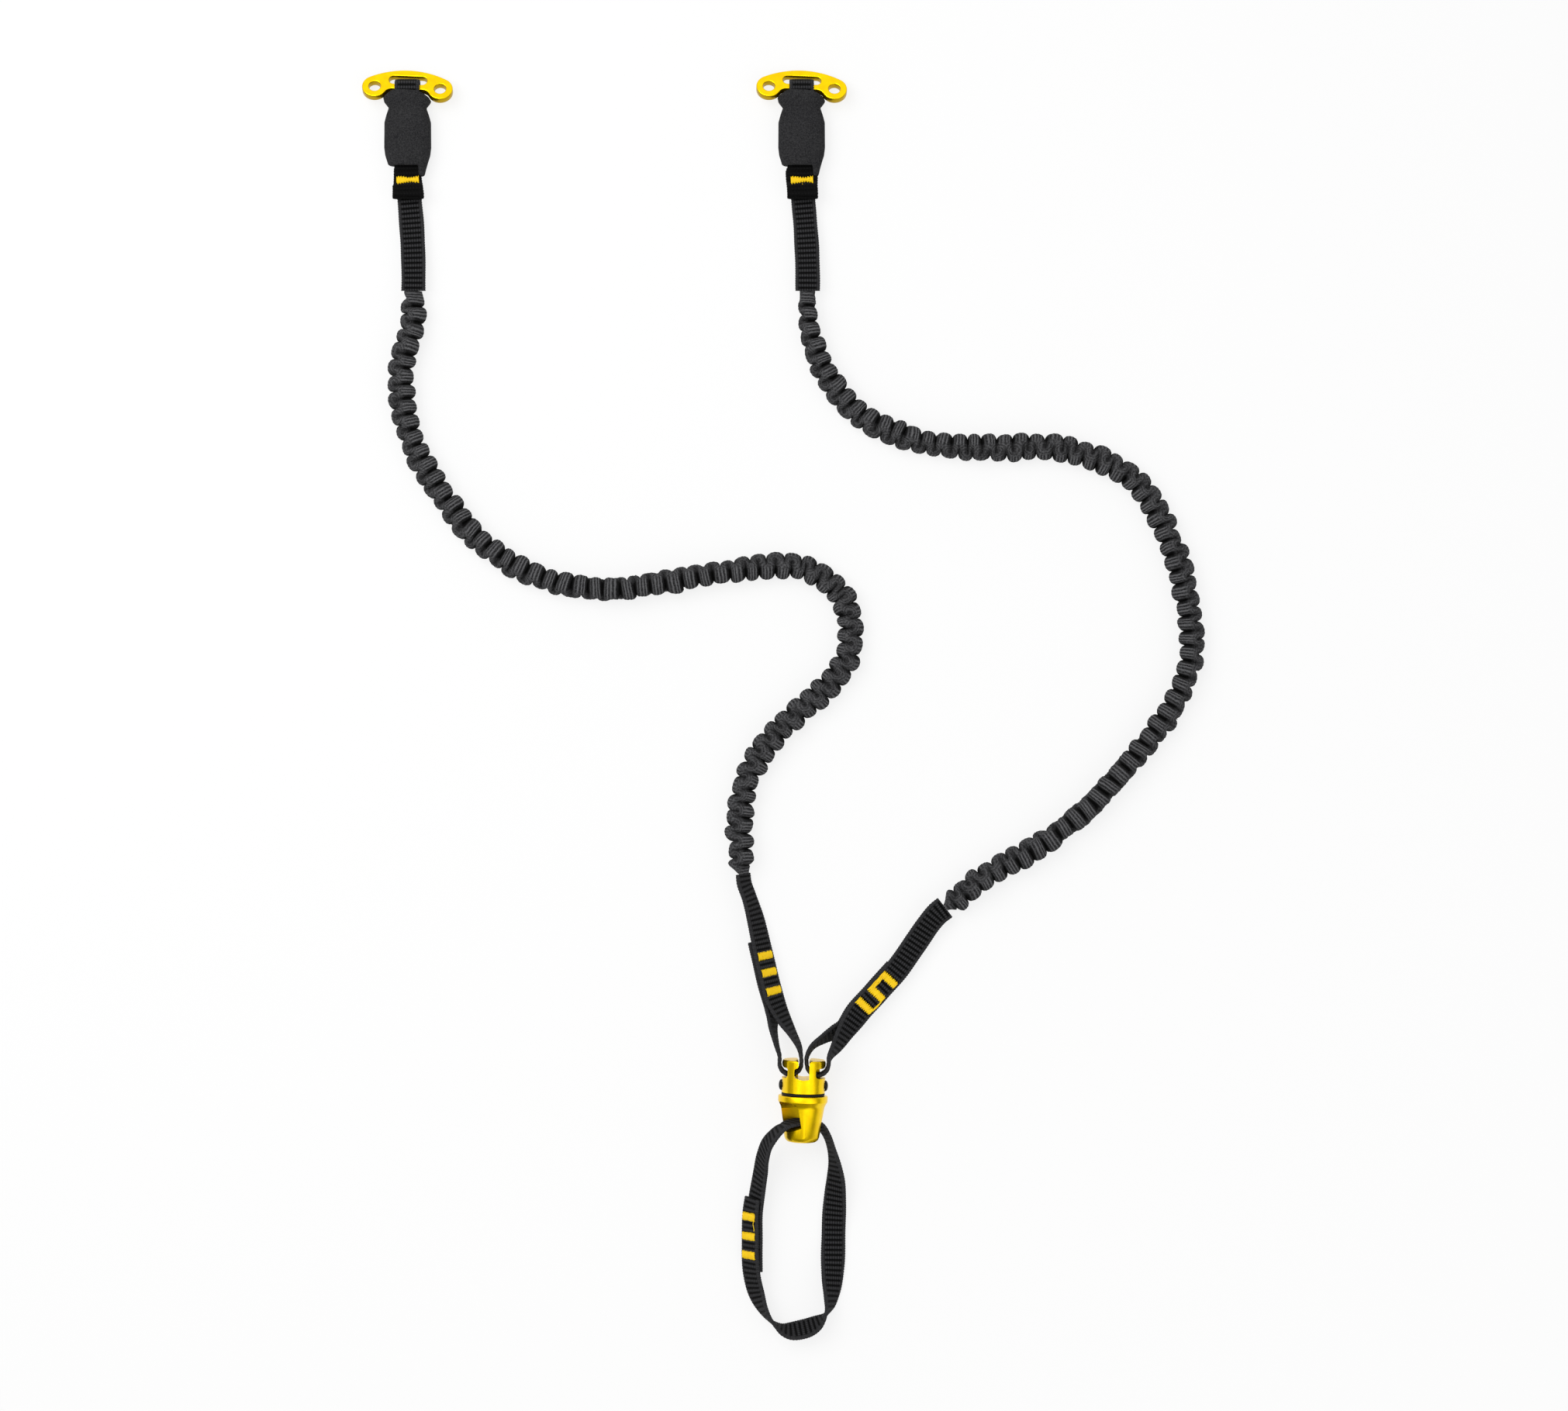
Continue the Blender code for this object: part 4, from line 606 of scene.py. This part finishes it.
def webbing(name, frames, seed, hem=False):
    """Webbing along closely spaced frames: ribbed faces, rounded selvedges, cut ends. A hem's
    last folded stretch is bunched wider, and its colour darkened almost to black."""
    rng = np.random.default_rng(seed)
    matrix = np.array(frames)
    spot, sideways, out = matrix[:, :3, 3], matrix[:, :3, 1], matrix[:, :3, 2]
    at = np.r_[0, np.cumsum(np.linalg.norm(np.diff(spot, axis=0), axis=1))][:, None]
    across, up = superellipse(WEB_COLUMNS, 4.5)
    edge = ease(HALF_WEB - SELVEDGE - 0.3, HALF_WEB - SELVEDGE, abs(across * HALF_WEB))
    rib = abs(np.cos(math.pi * at / RIB_STEP)) ** 0.6
    waves = rng.uniform(0, 6, 3)
    wave = sum(np.sin(at / reach + phase) for reach, phase in zip((3.1, 7.7, 13), waves))
    teeth = abs(np.cos(math.pi * at / (RIB_STEP / 2) + waves[0]))
    thick = 0.66 + 0.44 * rib * (1 - edge) + (0.28 + 0.16 * teeth) * edge
    wide = HALF_WEB - 0.15 + 0.06 * wave + 0.32 * teeth
    left = at[-1] - at
    bunched = ease(27, 21, left) * hem
    wide = wide + bunched * (1.4 + 0.16 * wave)
    crumple = np.sin(at / 1.3 + 3 * across + waves[1]) * np.sin(5 * across + at / 2.9)
    # How far the hem's colour is darkened: near black over its last 25 mm, half as much 10 to 14
    # mm from its end
    melt = ease(28, 25, left) * (1 - 0.5 * ease(17, 14, left) * ease(7, 10, left)) * hem * 0.97
    a, b = across * wide, up * (thick + 0.22 * crumple * bunched * (up > 0))
    b[[0, -1]] *= 0.6
    points = spot[:, None] + sideways[:, None] * a[..., None] + out[:, None] * b[..., None]
    first = spot[:1, None] + sideways[:1, None] * (0.94 * a[:1, :, None])
    last = spot[-1:, None] + sideways[-1:, None] * (0.94 * a[-1:, :, None])
    points = np.vstack([first, points, last])
    points[..., 2] = np.maximum(points[..., 2], 0.05)
    runs = np.vstack([at[:1], at, at[-1:]])
    melt = np.vstack([melt[:1], melt, melt[-1:]])
    rim = across * HALF_WEB
    return surface(name, points, runs, rim, webbing_nylon, selvedge=edge, melt=melt)


def swivel_frame():
    """The swivel's own frame, Y along its axis; heights along Y stay as they are."""
    lean = Matrix.Rotation(math.radians(SWIVEL_LEAN), 4, "Z")
    spot = Matrix.Translation((SWIVEL_X, EYE_Y, SWIVEL_Z))
    return spot @ lean @ Matrix.Translation((0, -EYE_Y, 0))


def lower_route(eye_x, tube, tape, back):
    """Out of the tube, down to the eye, round its bar, and back up behind itself."""
    tip = Vector(tube[-1])
    ahead = (tip - Vector(tube[-2])).normalized()
    start = [(*(tip + ahead * reach), TUBE_HEIGHT, tape[0][3]) for reach in (0.04, 5)]
    turn = [(*(swivel_frame() @ Vector((eye_x + x, EYE_Y + y, 0))), 0)
            for x, y in arc((0, 0), EYE_WRAP, 0, -180, 9)]
    frames = strap_frames(tape)
    doubled = [(*(frames[i] @ Vector((0, 0, LAYER_STEP))), -tape[i][3]) for i in (5, 4, 3, 2)]
    return start + list(tape) + turn + list(back) + doubled


def upper_route(bar_x):
    """From the tube up through the sleeve, over the plate's bar, back down, and the hem."""
    back_z = STRAP_Z - LAYER_STEP / 2
    front_z = STRAP_Z + LAYER_STEP / 2
    start_x = bar_x + STRAP_SHIFT
    up = [
        (start_x, 214.04, TUBE_HEIGHT), (start_x, 223, 7.0), (start_x - 0.4, 236, 6.0),
        (start_x - 1.3, 250, 4.9), (bar_x + 0.9, BAR_Y - 58, back_z),
        (bar_x + 0.3, BAR_Y - 50, back_z), (bar_x, BAR_Y - 42, back_z),
        (bar_x, BAR_Y - 30, back_z), (bar_x, BAR_Y - 20, back_z),
        (bar_x, BAR_Y - 15, back_z - 0.3), (bar_x, BAR_Y - 9.5, BAR_Z - WRAP_RADIUS + 0.7),
        (bar_x, BAR_Y - 4.5, BAR_Z - WRAP_RADIUS + 0.1),
    ]
    over = [(bar_x, BAR_Y + forward, BAR_Z + height)
            for height, forward in arc((0, 0), WRAP_RADIUS, 180, 0, 9)]
    down = [
        (bar_x, BAR_Y - 4.5, BAR_Z + WRAP_RADIUS - 0.1),
        (bar_x, BAR_Y - 9.5, BAR_Z + WRAP_RADIUS - 0.7), (bar_x, BAR_Y - 15, front_z + 0.7),
        (bar_x, BAR_Y - 20, front_z), (bar_x, BAR_Y - 30, front_z),
        (bar_x, BAR_Y - 42, front_z), (bar_x + 0.3, BAR_Y - FOLD_END + 4, front_z),
    ]
    hem = [(bar_x + 0.5, BAR_Y - FOLD_END - forward, front_z + HEM_BEND + height)
           for forward, height in arc((0, 0), HEM_BEND, -90, 90, 7)]
    end = [(bar_x + 0.3, BAR_Y - FOLD_END + 5, front_z + 2.25)]
    return [(*point, 0) for point in up + over + down + hem + end]


def loop_route():
    """Up from the lap, over the yoke's rounded bar, and round to the lap again."""
    across = swivel_frame() @ Matrix.Rotation(math.radians(WINDOW_TURN), 4, "Y")
    over = []
    for angle in (-14, -7, 0, 7, 14, 24):
        forward, upward = math.sin(math.radians(angle)), math.cos(math.radians(angle))
        spot = across @ Vector((0, CROWN_Y + LOOP_RADIUS * upward, -LOOP_RADIUS * forward))
        along = across.to_3x3() @ Vector((0, -forward, -upward))
        level = Vector((0, 0, 1)) - along * along.z
        side = across.to_3x3().col[0]
        turn = math.atan2(-side.dot(along.cross(level)), side.dot(level))
        over.append((*spot, math.degrees(turn)))
    frames = strap_frames(LOOP_UP)
    under = Vector((0, 0, -LAYER_STEP))
    lap = [(*(frames[i] @ under), LOOP_UP[i][3] + 180) for i in range(1, 5)]
    return list(LOOP_UP) + over + list(LOOP_DOWN) + lap


routes = {  # tape: its body and its route
    "left_lower_tape": ("left_arm", lower_route(-EYE_OFFSET, LEFT_TUBE, LEFT_TAPE, LEFT_RETURN)),
    "right_lower_tape": (
        "right_arm", lower_route(EYE_OFFSET, RIGHT_TUBE, RIGHT_TAPE, RIGHT_RETURN)),
    "left_upper_tape": ("left_end", upper_route(BAR_X["left"])),
    "right_upper_tape": ("right_end", upper_route(BAR_X["right"])),
    "tie_in_loop": ("tie_in", loop_route()),
}
tapes = {}
for number, (name, (body, route)) in enumerate(routes.items()):
    hemmed = "upper" in name
    upright = Vector((1, 0, 0) if hemmed else (0, 0, 1))
    tapes[name] = strap_frames(smooth(route, WEB_STEP), upright)
    piece = webbing(f"{name}_webbing", tapes[name], 31 + number, hemmed)
    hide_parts(name)
    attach(piece, body)

# Bar tacks: dense satin stitches in yellow thread that lie along the webbing and close each
# fold. Their ends are ragged, two hand-finished ones have a thread tail, and on the right lower
# tape some threads run on from tack to tack, first along one edge and then along the other.
THREAD_RADIUS = 0.17
TACK_LENGTH = 4.6
TACK_WIDTH = 9.8
UPPER_TACK_WIDTH = 11.4
UPPER_TACK_WAIST = 0.75
UPPER_TACK_Y = BAR_Y - 47.3
LOWER_TACKS = {"left": (43.5, 52.5, 62.5), "right": (47.5, 57.0, 66.0)}  # mm from the tube
LOOP_TACKS = 9.8, 19.6, 29.4  # mm back from the end of the lap
JOINS = (2.9, 9), (-5.1, 3)  # where across the tape its threads start, and how many they are
JOIN_STEP = 0.24  # from one of those threads to the next
STITCHES = 50
STITCH_PATH = (  # part of its length, height from the webbing's middle
    (0, 0.7), (0.05, 1.15), (0.16, 1.32), (0.5, 1.36), (0.84, 1.32), (0.95, 1.15), (1, 0.7),
)

# Polyester thread: two close yellows in soft patches, with fine fibres that catch the light
stitch_thread, tree, shader = finish("stitching_thread", Roughness=0.5, Specular_IOR_Level=0.3)
place = node(tree, "TexCoord").outputs["Object"]
strand = node(tree, "TexNoise", {"Vector": place, "Scale": 1800, "Detail": 2})
soft = node(tree, "TexNoise", {"Vector": place, "Scale": 300, "Detail": 1})
tone = maths(tree, "MULTIPLY", maths(tree, "ADD", soft.outputs[0], strand.outputs[0]), 0.6)
skin = mixed(tree, tone, srgb("#f0b400"), srgb("#ffe000"))
tree.links.new(skin, shader.inputs["Base Color"])
bump = node(tree, "Bump", {"Strength": 0.5, "Distance": 0.0002, "Height": strand.outputs[0]})
tree.links.new(bump.outputs[0], shader.inputs["Normal"])


def threads(name, lines):
    """Round threads along lines of points in mm, as one mesh."""
    curve = bpy.data.curves.new(name, "CURVE")
    curve.dimensions = "3D"
    curve.bevel_depth = THREAD_RADIUS * MM
    curve.bevel_resolution = 1
    curve.use_fill_caps = True
    for line in lines:
        spline = curve.splines.new("POLY")
        spline.points.add(len(line) - 1)
        for target, point in zip(spline.points, line):
            target.co = (*(Vector(point) * MM), 1)
    guide = bpy.data.objects.new(f"{name}_guide", curve)
    scene.collection.objects.link(guide)
    bpy.context.view_layer.update()
    graph = bpy.context.evaluated_depsgraph_get()
    mesh = bpy.data.meshes.new_from_object(guide.evaluated_get(graph))
    bpy.data.objects.remove(guide)
    return shown(name, mesh, stitch_thread)


def tack_lines(seat, side, width, waist, rng):
    """The stitches of one bar tack, each dipping into the webbing at both ends. A waist is how
    much shorter they are in its middle."""
    lines = []
    for index in range(STITCHES):
        place = width * ((index + 0.5) / STITCHES - 0.5)
        ragged = 0.35 * (1 + np.sin(index * 1.1 + np.array((0, 2))))
        ragged = ragged + rng.uniform(0, 0.35, 2)
        ragged += waist * (1 - ease(0, 1, abs(2 * index / STITCHES - 1.2)))
        low, high = -TACK_LENGTH / 2 + ragged[0], TACK_LENGTH / 2 - ragged[1]
        tilt = rng.normal(0, 0.06, 2)
        lines.append([
            seat @ Vector((low + (high - low) * t, place + tilt[0] * (1 - t) + tilt[1] * t,
                           side * (z + 0.03 * (index % 2))))
            for t, z in STITCH_PATH
        ])
    return lines


def frame_at(frames, distance):
    """The frame nearest to a distance along the strap; a negative one counts from its end."""
    places = np.array([frame.translation for frame in frames])
    runs = np.r_[0, np.cumsum(np.linalg.norm(np.diff(places, axis=0), axis=1))]
    target = distance if distance >= 0 else runs[-1] + distance
    return frames[int(np.argmin(abs(runs - target)))]


def sew(name, seat, side, body, seed, extra=()):
    """A bar tack at a frame of a tape, on the side of it that side gives, with any loose
    threads given in the frame's own mm."""
    upper = "upper" in name
    width, waist = (UPPER_TACK_WIDTH, UPPER_TACK_WAIST) if upper else (TACK_WIDTH, 0)
    lines = tack_lines(seat, side, width, waist, np.random.default_rng(seed))
    lines += [[seat @ Vector((x, y, side * z)) for x, y, z in line] for line in extra]
    piece = threads(f"{name}_stitches", lines)
    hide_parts(name)
    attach(piece, body)


for side, seats in LOWER_TACKS.items():
    tape = tapes[f"{side}_lower_tape"]
    for number, distance in enumerate(seats, 1):
        joins = ()
        if side == "right" and number <= len(JOINS):
            edge, count = JOINS[number - 1]
            joins = [[(x, edge + JOIN_STEP * k + 0.15 * math.sin(x + k), 1.3 + 0.05 * (k % 2))
                      for x in np.linspace(1.2 - 0.1 * k, 8.2, 9)] for k in range(count)]
        seat = frame_at(tape, distance)
        sew(f"{side}_lower_tack_{number}", seat, -1, f"{side}_arm", 50 + number, joins)
for number, distance in enumerate(LOOP_TACKS, 1):
    tail = ()
    if number == 1:
        tail = ([(2.2 - t, -4.7 - 0.5 * math.sin(0.9 * t), 1.4) for t in np.linspace(0, 9, 20)],)
    seat = frame_at(tapes["tie_in_loop"], -distance)
    sew(f"loop_tack_{number}", seat, 1, "tie_in", 60 + number, tail)
for number, side in enumerate(("left", "right")):
    on_top = [frame for frame in tapes[f"{side}_upper_tape"] if frame.to_3x3().col[2].z > 0.99]
    seat = min(on_top, key=lambda frame: abs(frame.translation.y - UPPER_TACK_Y))
    tail = ()
    if side == "right":
        tail = ([(2 + t, 0.5 * math.sin(t), 1.5 - 0.05 * t) for t in np.linspace(0, 3.4, 8)],)
    sew(f"{side}_upper_tack", seat, 1, f"{side}_end", 70 + number, tail)

# Foam sleeves: a closed-cell foam tube slipped over the doubled strap under each plate, cut to
# a low point at its mouth, pinched under it, and drawn in at its foot.
SLEEVE_STATIONS = (  # distance under the bar, half width, underside, top
    (-0.5, 10.6, 0.6, 13.2), (2.0, 11.6, 0.3, 13.6), (4.8, 12.5, 0.1, 13.6),
    (7.2, 12.0, 0.1, 13.2), (10.1, 9.7, 0.3, 12.2), (13.5, 10.9, 0.2, 11.9),
    (17.5, 12.0, 0.1, 11.6), (30.5, 12.1, 0.1, 11.5), (34.5, 11.6, 0.2, 11.3),
    (38.0, 10.5, 0.6, 10.8), (41.5, 9.5, 1.2, 10.2), (46.0, 8.5, 2.4, 9.4),
)
PASSAGE_STATIONS = (  # the same for the passage through it
    (-3.0, 9.0, 1.05, 12.05), (5.0, 8.0, 1.15, 11.75), (10.0, 6.8, 1.85, 11.05),
    (15.0, 6.6, 2.7, 9.4), (20.0, 6.6, 3.0, 8.6), (50.0, 6.6, 3.0, 8.6),
)
# Across the sleeve, distance under the bar: where its foam is cut at the mouth and the foot
SLEEVE_MOUTH = ((0, 1.4), (3.0, 1.4), (6.0, 1.6), (8.6, 2.4), (10.8, 4.0), (12.4, 5.8))
SLEEVE_FOOT = ((-20, 39.8), (4.9, 39.8), (6.2, 40.4), (6.7, 45.0), (20, 45.6))
MOUTH_HALF = 11.6  # half across the sleeve at its mouth
MOUTH_SLANT = 0.07
FOOT_HALF = 9.0  # and at its foot
SLEEVE_COLUMNS = 72
LIP = 0.026  # how much of the length the rounding of each cut edge takes

# Closed-cell foam: dark grey, matt, speckled with the tiny cells of its cut skin
cell_foam, tree, shader = finish("closed_cell_foam", Roughness=0.85, Specular_IOR_Level=0.15)
place = node(tree, "TexCoord").outputs["Object"]
cells = node(tree, "TexVoronoi", {"Vector": place, "Scale": 2200}, feature="F1").outputs[0]
grain = node(tree, "TexNoise", {"Vector": place, "Scale": 1300, "Detail": 3, "Roughness": 0.7})
broad = node(tree, "TexNoise", {"Vector": place, "Scale": 90, "Detail": 2})
speck = maths(tree, "MULTIPLY_ADD", cells, -0.35, grain.outputs[0])
speck = maths(tree, "MULTIPLY_ADD", broad.outputs[0], 0.15, speck)
tone = node(tree, "MapRange", {0: speck, 1: 0.24, 2: 0.62}).outputs[0]
tree.links.new(mixed(tree, tone, srgb("#18181a"), srgb("#363637")), shader.inputs["Base Color"])
bump = node(tree, "Bump", {"Strength": 0.5, "Distance": 0.0004, "Height": speck})
tree.links.new(bump.outputs[0], shader.inputs["Normal"])


def sleeve_ring(stations, down, across, up):
    """Points in the sleeve's section at a distance under the bar, for each column."""
    wide, low, high = (np.interp(down, *np.array(stations)[:, [0, k]].T) for k in (1, 2, 3))
    return np.stack([across * wide, -down, (low + high) / 2 + (high - low) / 2 * up], -1)


def foam_sleeve(side, bar_x):
    """One sleeve: its outside and its passage, which meet in rounded lips."""
    across, up = superellipse(SLEEVE_COLUMNS, 2.7)
    side_x = across * MOUTH_HALF
    mouth = np.interp(abs(side_x), *np.array(SLEEVE_MOUTH).T) + MOUTH_SLANT * side_x
    foot = np.interp(across * FOOT_HALF, *np.array(SLEEVE_FOOT).T)
    t = np.r_[0, 0.0015, 0.006, 0.014, 0.026, np.linspace(0.05, 0.95, 60),
              0.974, 0.986, 0.994, 0.9985, 1][:, None]
    down = mouth + (foot - mouth) * t
    outer = sleeve_ring(SLEEVE_STATIONS, down, across, up)
    in_across, in_up = superellipse(SLEEVE_COLUMNS, 6)
    inner = sleeve_ring(PASSAGE_STATIONS, down, in_across, in_up)
    from_cut = np.minimum(np.minimum(t, 1 - t) / LIP, 1)
    turned_in = 0.5 * (1 - np.sqrt(np.clip(1 - (1 - from_cut) ** 2, 0, 1)))[..., None]
    outside = outer + (inner - outer) * turned_in
    inside = inner + (outer - inner) * turned_in
    soft = 0.15 * np.sin(down / 4.1 + 2 * across) * np.sin(3 * up + down / 7.3)
    outside[..., 2] += soft * (outside[..., 2] > 6)
    points = np.vstack([outside, inside[::-1], outside[:1]]) + (bar_x, BAR_Y, 0)
    runs = np.arange(len(points))[:, None] * 0.7
    rim = np.linspace(0, 60, SLEEVE_COLUMNS + 1)
    piece = surface(f"{side}_sleeve_foam", points, runs, rim, cell_foam)
    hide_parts(f"{side}_foam_sleeve")
    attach(piece, f"{side}_end")
    return piece


for side, bar_x in BAR_X.items():
    foam_sleeve(side, bar_x)

# Axe plates: 4 mm aluminium, pressed to a shallow crescent with a slot and two holes, its
# edges rounded over by tumbling, and anodised yellow. It lies tilted on the strap.
PLATE_THICK = 4.0
PLATE_EDGE = 0.55  # radius
PLATE_TURN = -2.5
PLATE_TILT = -27
SLOT = 19.6, 4.9
BAR_HALF = 1.6  # of the bar between the slot and the plate's lower edge
ARCH_RADIUS = 42.5
ARCH_TOP = 10.3
LOBE_RADIUS = 6.5
LOBE_X = 16.9
HOLE_RADIUS = 3.0
THROAT_RADIUS = 4.0

# Anodised aluminium: a clear yellow oxide over a satin metal, clouded a little in tone, with
# painted shade on the walls of the plates' edges, slot and holes. 0.9 metallic, so that its
# hollows don't turn brown
anodised, tree, shader = finish("anodised_aluminium", Metallic=0.9)
place = node(tree, "TexCoord").outputs["Object"]
cloud = node(tree, "TexNoise", {"Vector": place, "Scale": 260, "Detail": 4})
satin = node(tree, "TexNoise", {"Vector": place, "Scale": 4000, "Detail": 2})
skin = mixed(tree, node(tree, "MapRange", {0: cloud.outputs[0], 1: 0.3, 2: 0.75}).outputs[0],
             srgb("#ffd900"), srgb("#f4c600"))
painted_wall_shade = node(tree, "Attribute", attribute_name="painted_wall_shade").outputs["Fac"]
# Painted shade: the plates' edge, slot and hole walls coloured a darker gold
skin = mixed(tree, painted_wall_shade, skin, srgb("#b89600"))
tree.links.new(skin, shader.inputs["Base Color"])
rough = node(tree, "MapRange", {0: satin.outputs[0], 3: 0.22, 4: 0.36}).outputs[0]
tree.links.new(rough, shader.inputs["Roughness"])
bump = node(tree, "Bump", {"Strength": 0.12, "Distance": 0.0001, "Height": satin.outputs[0]})
tree.links.new(bump.outputs[0], shader.inputs["Normal"])


def plate_rings():
    """The plate's outline, slot and holes in its own plane, in mm."""
    drop = math.sqrt((ARCH_RADIUS - LOBE_RADIUS) ** 2 - LOBE_X**2)
    lobe_y = ARCH_TOP - ARCH_RADIUS + drop
    tangent = math.degrees(math.atan2(drop, LOBE_X))
    throat_y = -BAR_HALF - THROAT_RADIUS
    throat_x = LOBE_X - math.sqrt((LOBE_RADIUS + THROAT_RADIUS) ** 2 - (lobe_y - throat_y) ** 2)
    meet = math.degrees(math.atan2(lobe_y - throat_y, LOBE_X - throat_x))
    right = arc((0, ARCH_TOP - ARCH_RADIUS), ARCH_RADIUS, 90, tangent, 14)
    right += arc((LOBE_X, lobe_y), LOBE_RADIUS, tangent, meet - 180, 40)[1:]
    right += arc((throat_x, throat_y), THROAT_RADIUS, meet, 90, 12)[1:]
    outline = right + [(-x, y) for x, y in reversed(right[1:])]
    ends = SLOT[0] / 2 - SLOT[1] / 2
    middle = BAR_HALF + SLOT[1] / 2
    slot = arc((ends, middle), SLOT[1] / 2, -90, 90, 14)
    slot += arc((-ends, middle), SLOT[1] / 2, 90, 270, 14)
    holes = [arc((x, lobe_y), HOLE_RADIUS, 0, 350, 36) for x in (-LOBE_X, LOBE_X)]
    return [outline, slot, *holes]


for side, bar_x in BAR_X.items():
    curve = bpy.data.curves.new(f"{side}_plate", "CURVE")
    curve.dimensions = "2D"
    curve.fill_mode = "BOTH"
    curve.bevel_depth = PLATE_EDGE * MM
    curve.bevel_resolution = 2
    curve.extrude = (PLATE_THICK / 2 - PLATE_EDGE) * MM
    curve.offset = -PLATE_EDGE * MM
    for ring in plate_rings():
        spline = curve.splines.new("POLY")
        spline.points.add(len(ring) - 1)
        spline.use_cyclic_u = True
        for target, (x, y) in zip(spline.points, ring):
            target.co = (x * MM, y * MM, 0, 1)
    guide = bpy.data.objects.new("plate_guide", curve)
    scene.collection.objects.link(guide)
    bpy.context.view_layer.update()
    mesh = bpy.data.meshes.new_from_object(
        guide.evaluated_get(bpy.context.evaluated_depsgraph_get()))
    bpy.data.objects.remove(guide)
    bm = bmesh.new()
    bm.from_mesh(mesh)
    bmesh.ops.remove_doubles(bm, verts=bm.verts, dist=1e-6)
    bmesh.ops.recalc_face_normals(bm, faces=bm.faces)
    lie = Matrix.Translation(Vector((bar_x, BAR_Y, BAR_Z)) * MM)
    lie = lie @ Matrix.Rotation(math.radians(PLATE_TURN), 4, "Z")
    lie = lie @ Matrix.Rotation(math.radians(PLATE_TILT), 4, "X")
    bmesh.ops.transform(bm, matrix=lie, verts=bm.verts)
    bm.to_mesh(mesh)
    bm.free()
    plate = shown(f"{side}_axe_plate", mesh, anodised)
    # Painted shade: faces turned away from the plate's face, its walls, are marked to be
    # coloured darker
    painted_wall_shade = mesh.attributes.new("painted_wall_shade", "FLOAT", "FACE")
    face = lie.to_3x3().col[2]
    for part in mesh.polygons:
        flat_on = abs(part.normal.dot(face))
        painted_wall_shade.data[part.index].value = float(flat_on < 0.3)
        part.use_smooth = flat_on < 0.999
    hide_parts(f"{side}_end_plate")
    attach(plate, f"{side}_plate")

# Swivel: a turned and milled head with an eye for each arm, and a yoke with a window for the
# tie-in loop, both anodised; steel axle, washer and cross rivet, blackened; a black seal.
EDGE_RADIUS = 0.25
SHARP = math.radians(35)  # edges that turn more than this are crisp, and are broken

# Blackened steel: near black, clouded, with a low gloss
blackened, tree, shader = finish("blackened_steel", Metallic=1.0)
place = node(tree, "TexCoord").outputs["Object"]
cloud = node(tree, "TexNoise", {"Vector": place, "Scale": 900, "Detail": 3})
skin = mixed(tree, cloud.outputs[0], srgb("#141414"), srgb("#2c2b2a"))
tree.links.new(skin, shader.inputs["Base Color"])
rough = node(tree, "MapRange", {0: cloud.outputs[0], 3: 0.3, 4: 0.55}).outputs[0]
tree.links.new(rough, shader.inputs["Roughness"])

# Moulded rubber: black and matt
rubber, tree, shader = finish("seal_rubber", Specular_IOR_Level=0.2)
place = node(tree, "TexCoord").outputs["Object"]
cloud = node(tree, "TexNoise", {"Vector": place, "Scale": 1500, "Detail": 3})
skin = mixed(tree, cloud.outputs[0], srgb("#080808"), srgb("#1a1a1a"))
tree.links.new(skin, shader.inputs["Base Color"])
rough = node(tree, "MapRange", {0: cloud.outputs[0], 3: 0.5, 4: 0.8}).outputs[0]
tree.links.new(rough, shader.inputs["Roughness"])

for name, body in (("swivel_head", "head"), ("swivel_yoke", "yoke")):
    bm = bmesh.new()
    bm.from_mesh(frame["nodes"][name].data)
    bmesh.ops.remove_doubles(bm, verts=bm.verts, dist=1e-6)
    bmesh.ops.dissolve_limit(bm, angle_limit=math.radians(1), verts=bm.verts, edges=bm.edges)
    bmesh.ops.recalc_face_normals(bm, faces=bm.faces)
    mesh = bpy.data.meshes.new(name)
    bm.to_mesh(mesh)
    bm.free()
    piece = shown(f"{name}_body", mesh, anodised)
    mesh.set_sharp_from_angle(angle=SHARP)
    edge = piece.modifiers.new("edges", "BEVEL")
    edge.width = EDGE_RADIUS * MM
    edge.segments = 2
    edge.limit_method = "ANGLE"
    edge.angle_limit = SHARP
    edge.harden_normals = True
    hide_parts(name)
    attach(piece, body)
for name in ("swivel_axle", "cross_rivet", "thrust_washer", "seal_ring"):
    skin = frame["nodes"][name].data.materials
    skin.clear()
    skin.append(rubber if name == "seal_ring" else blackened)
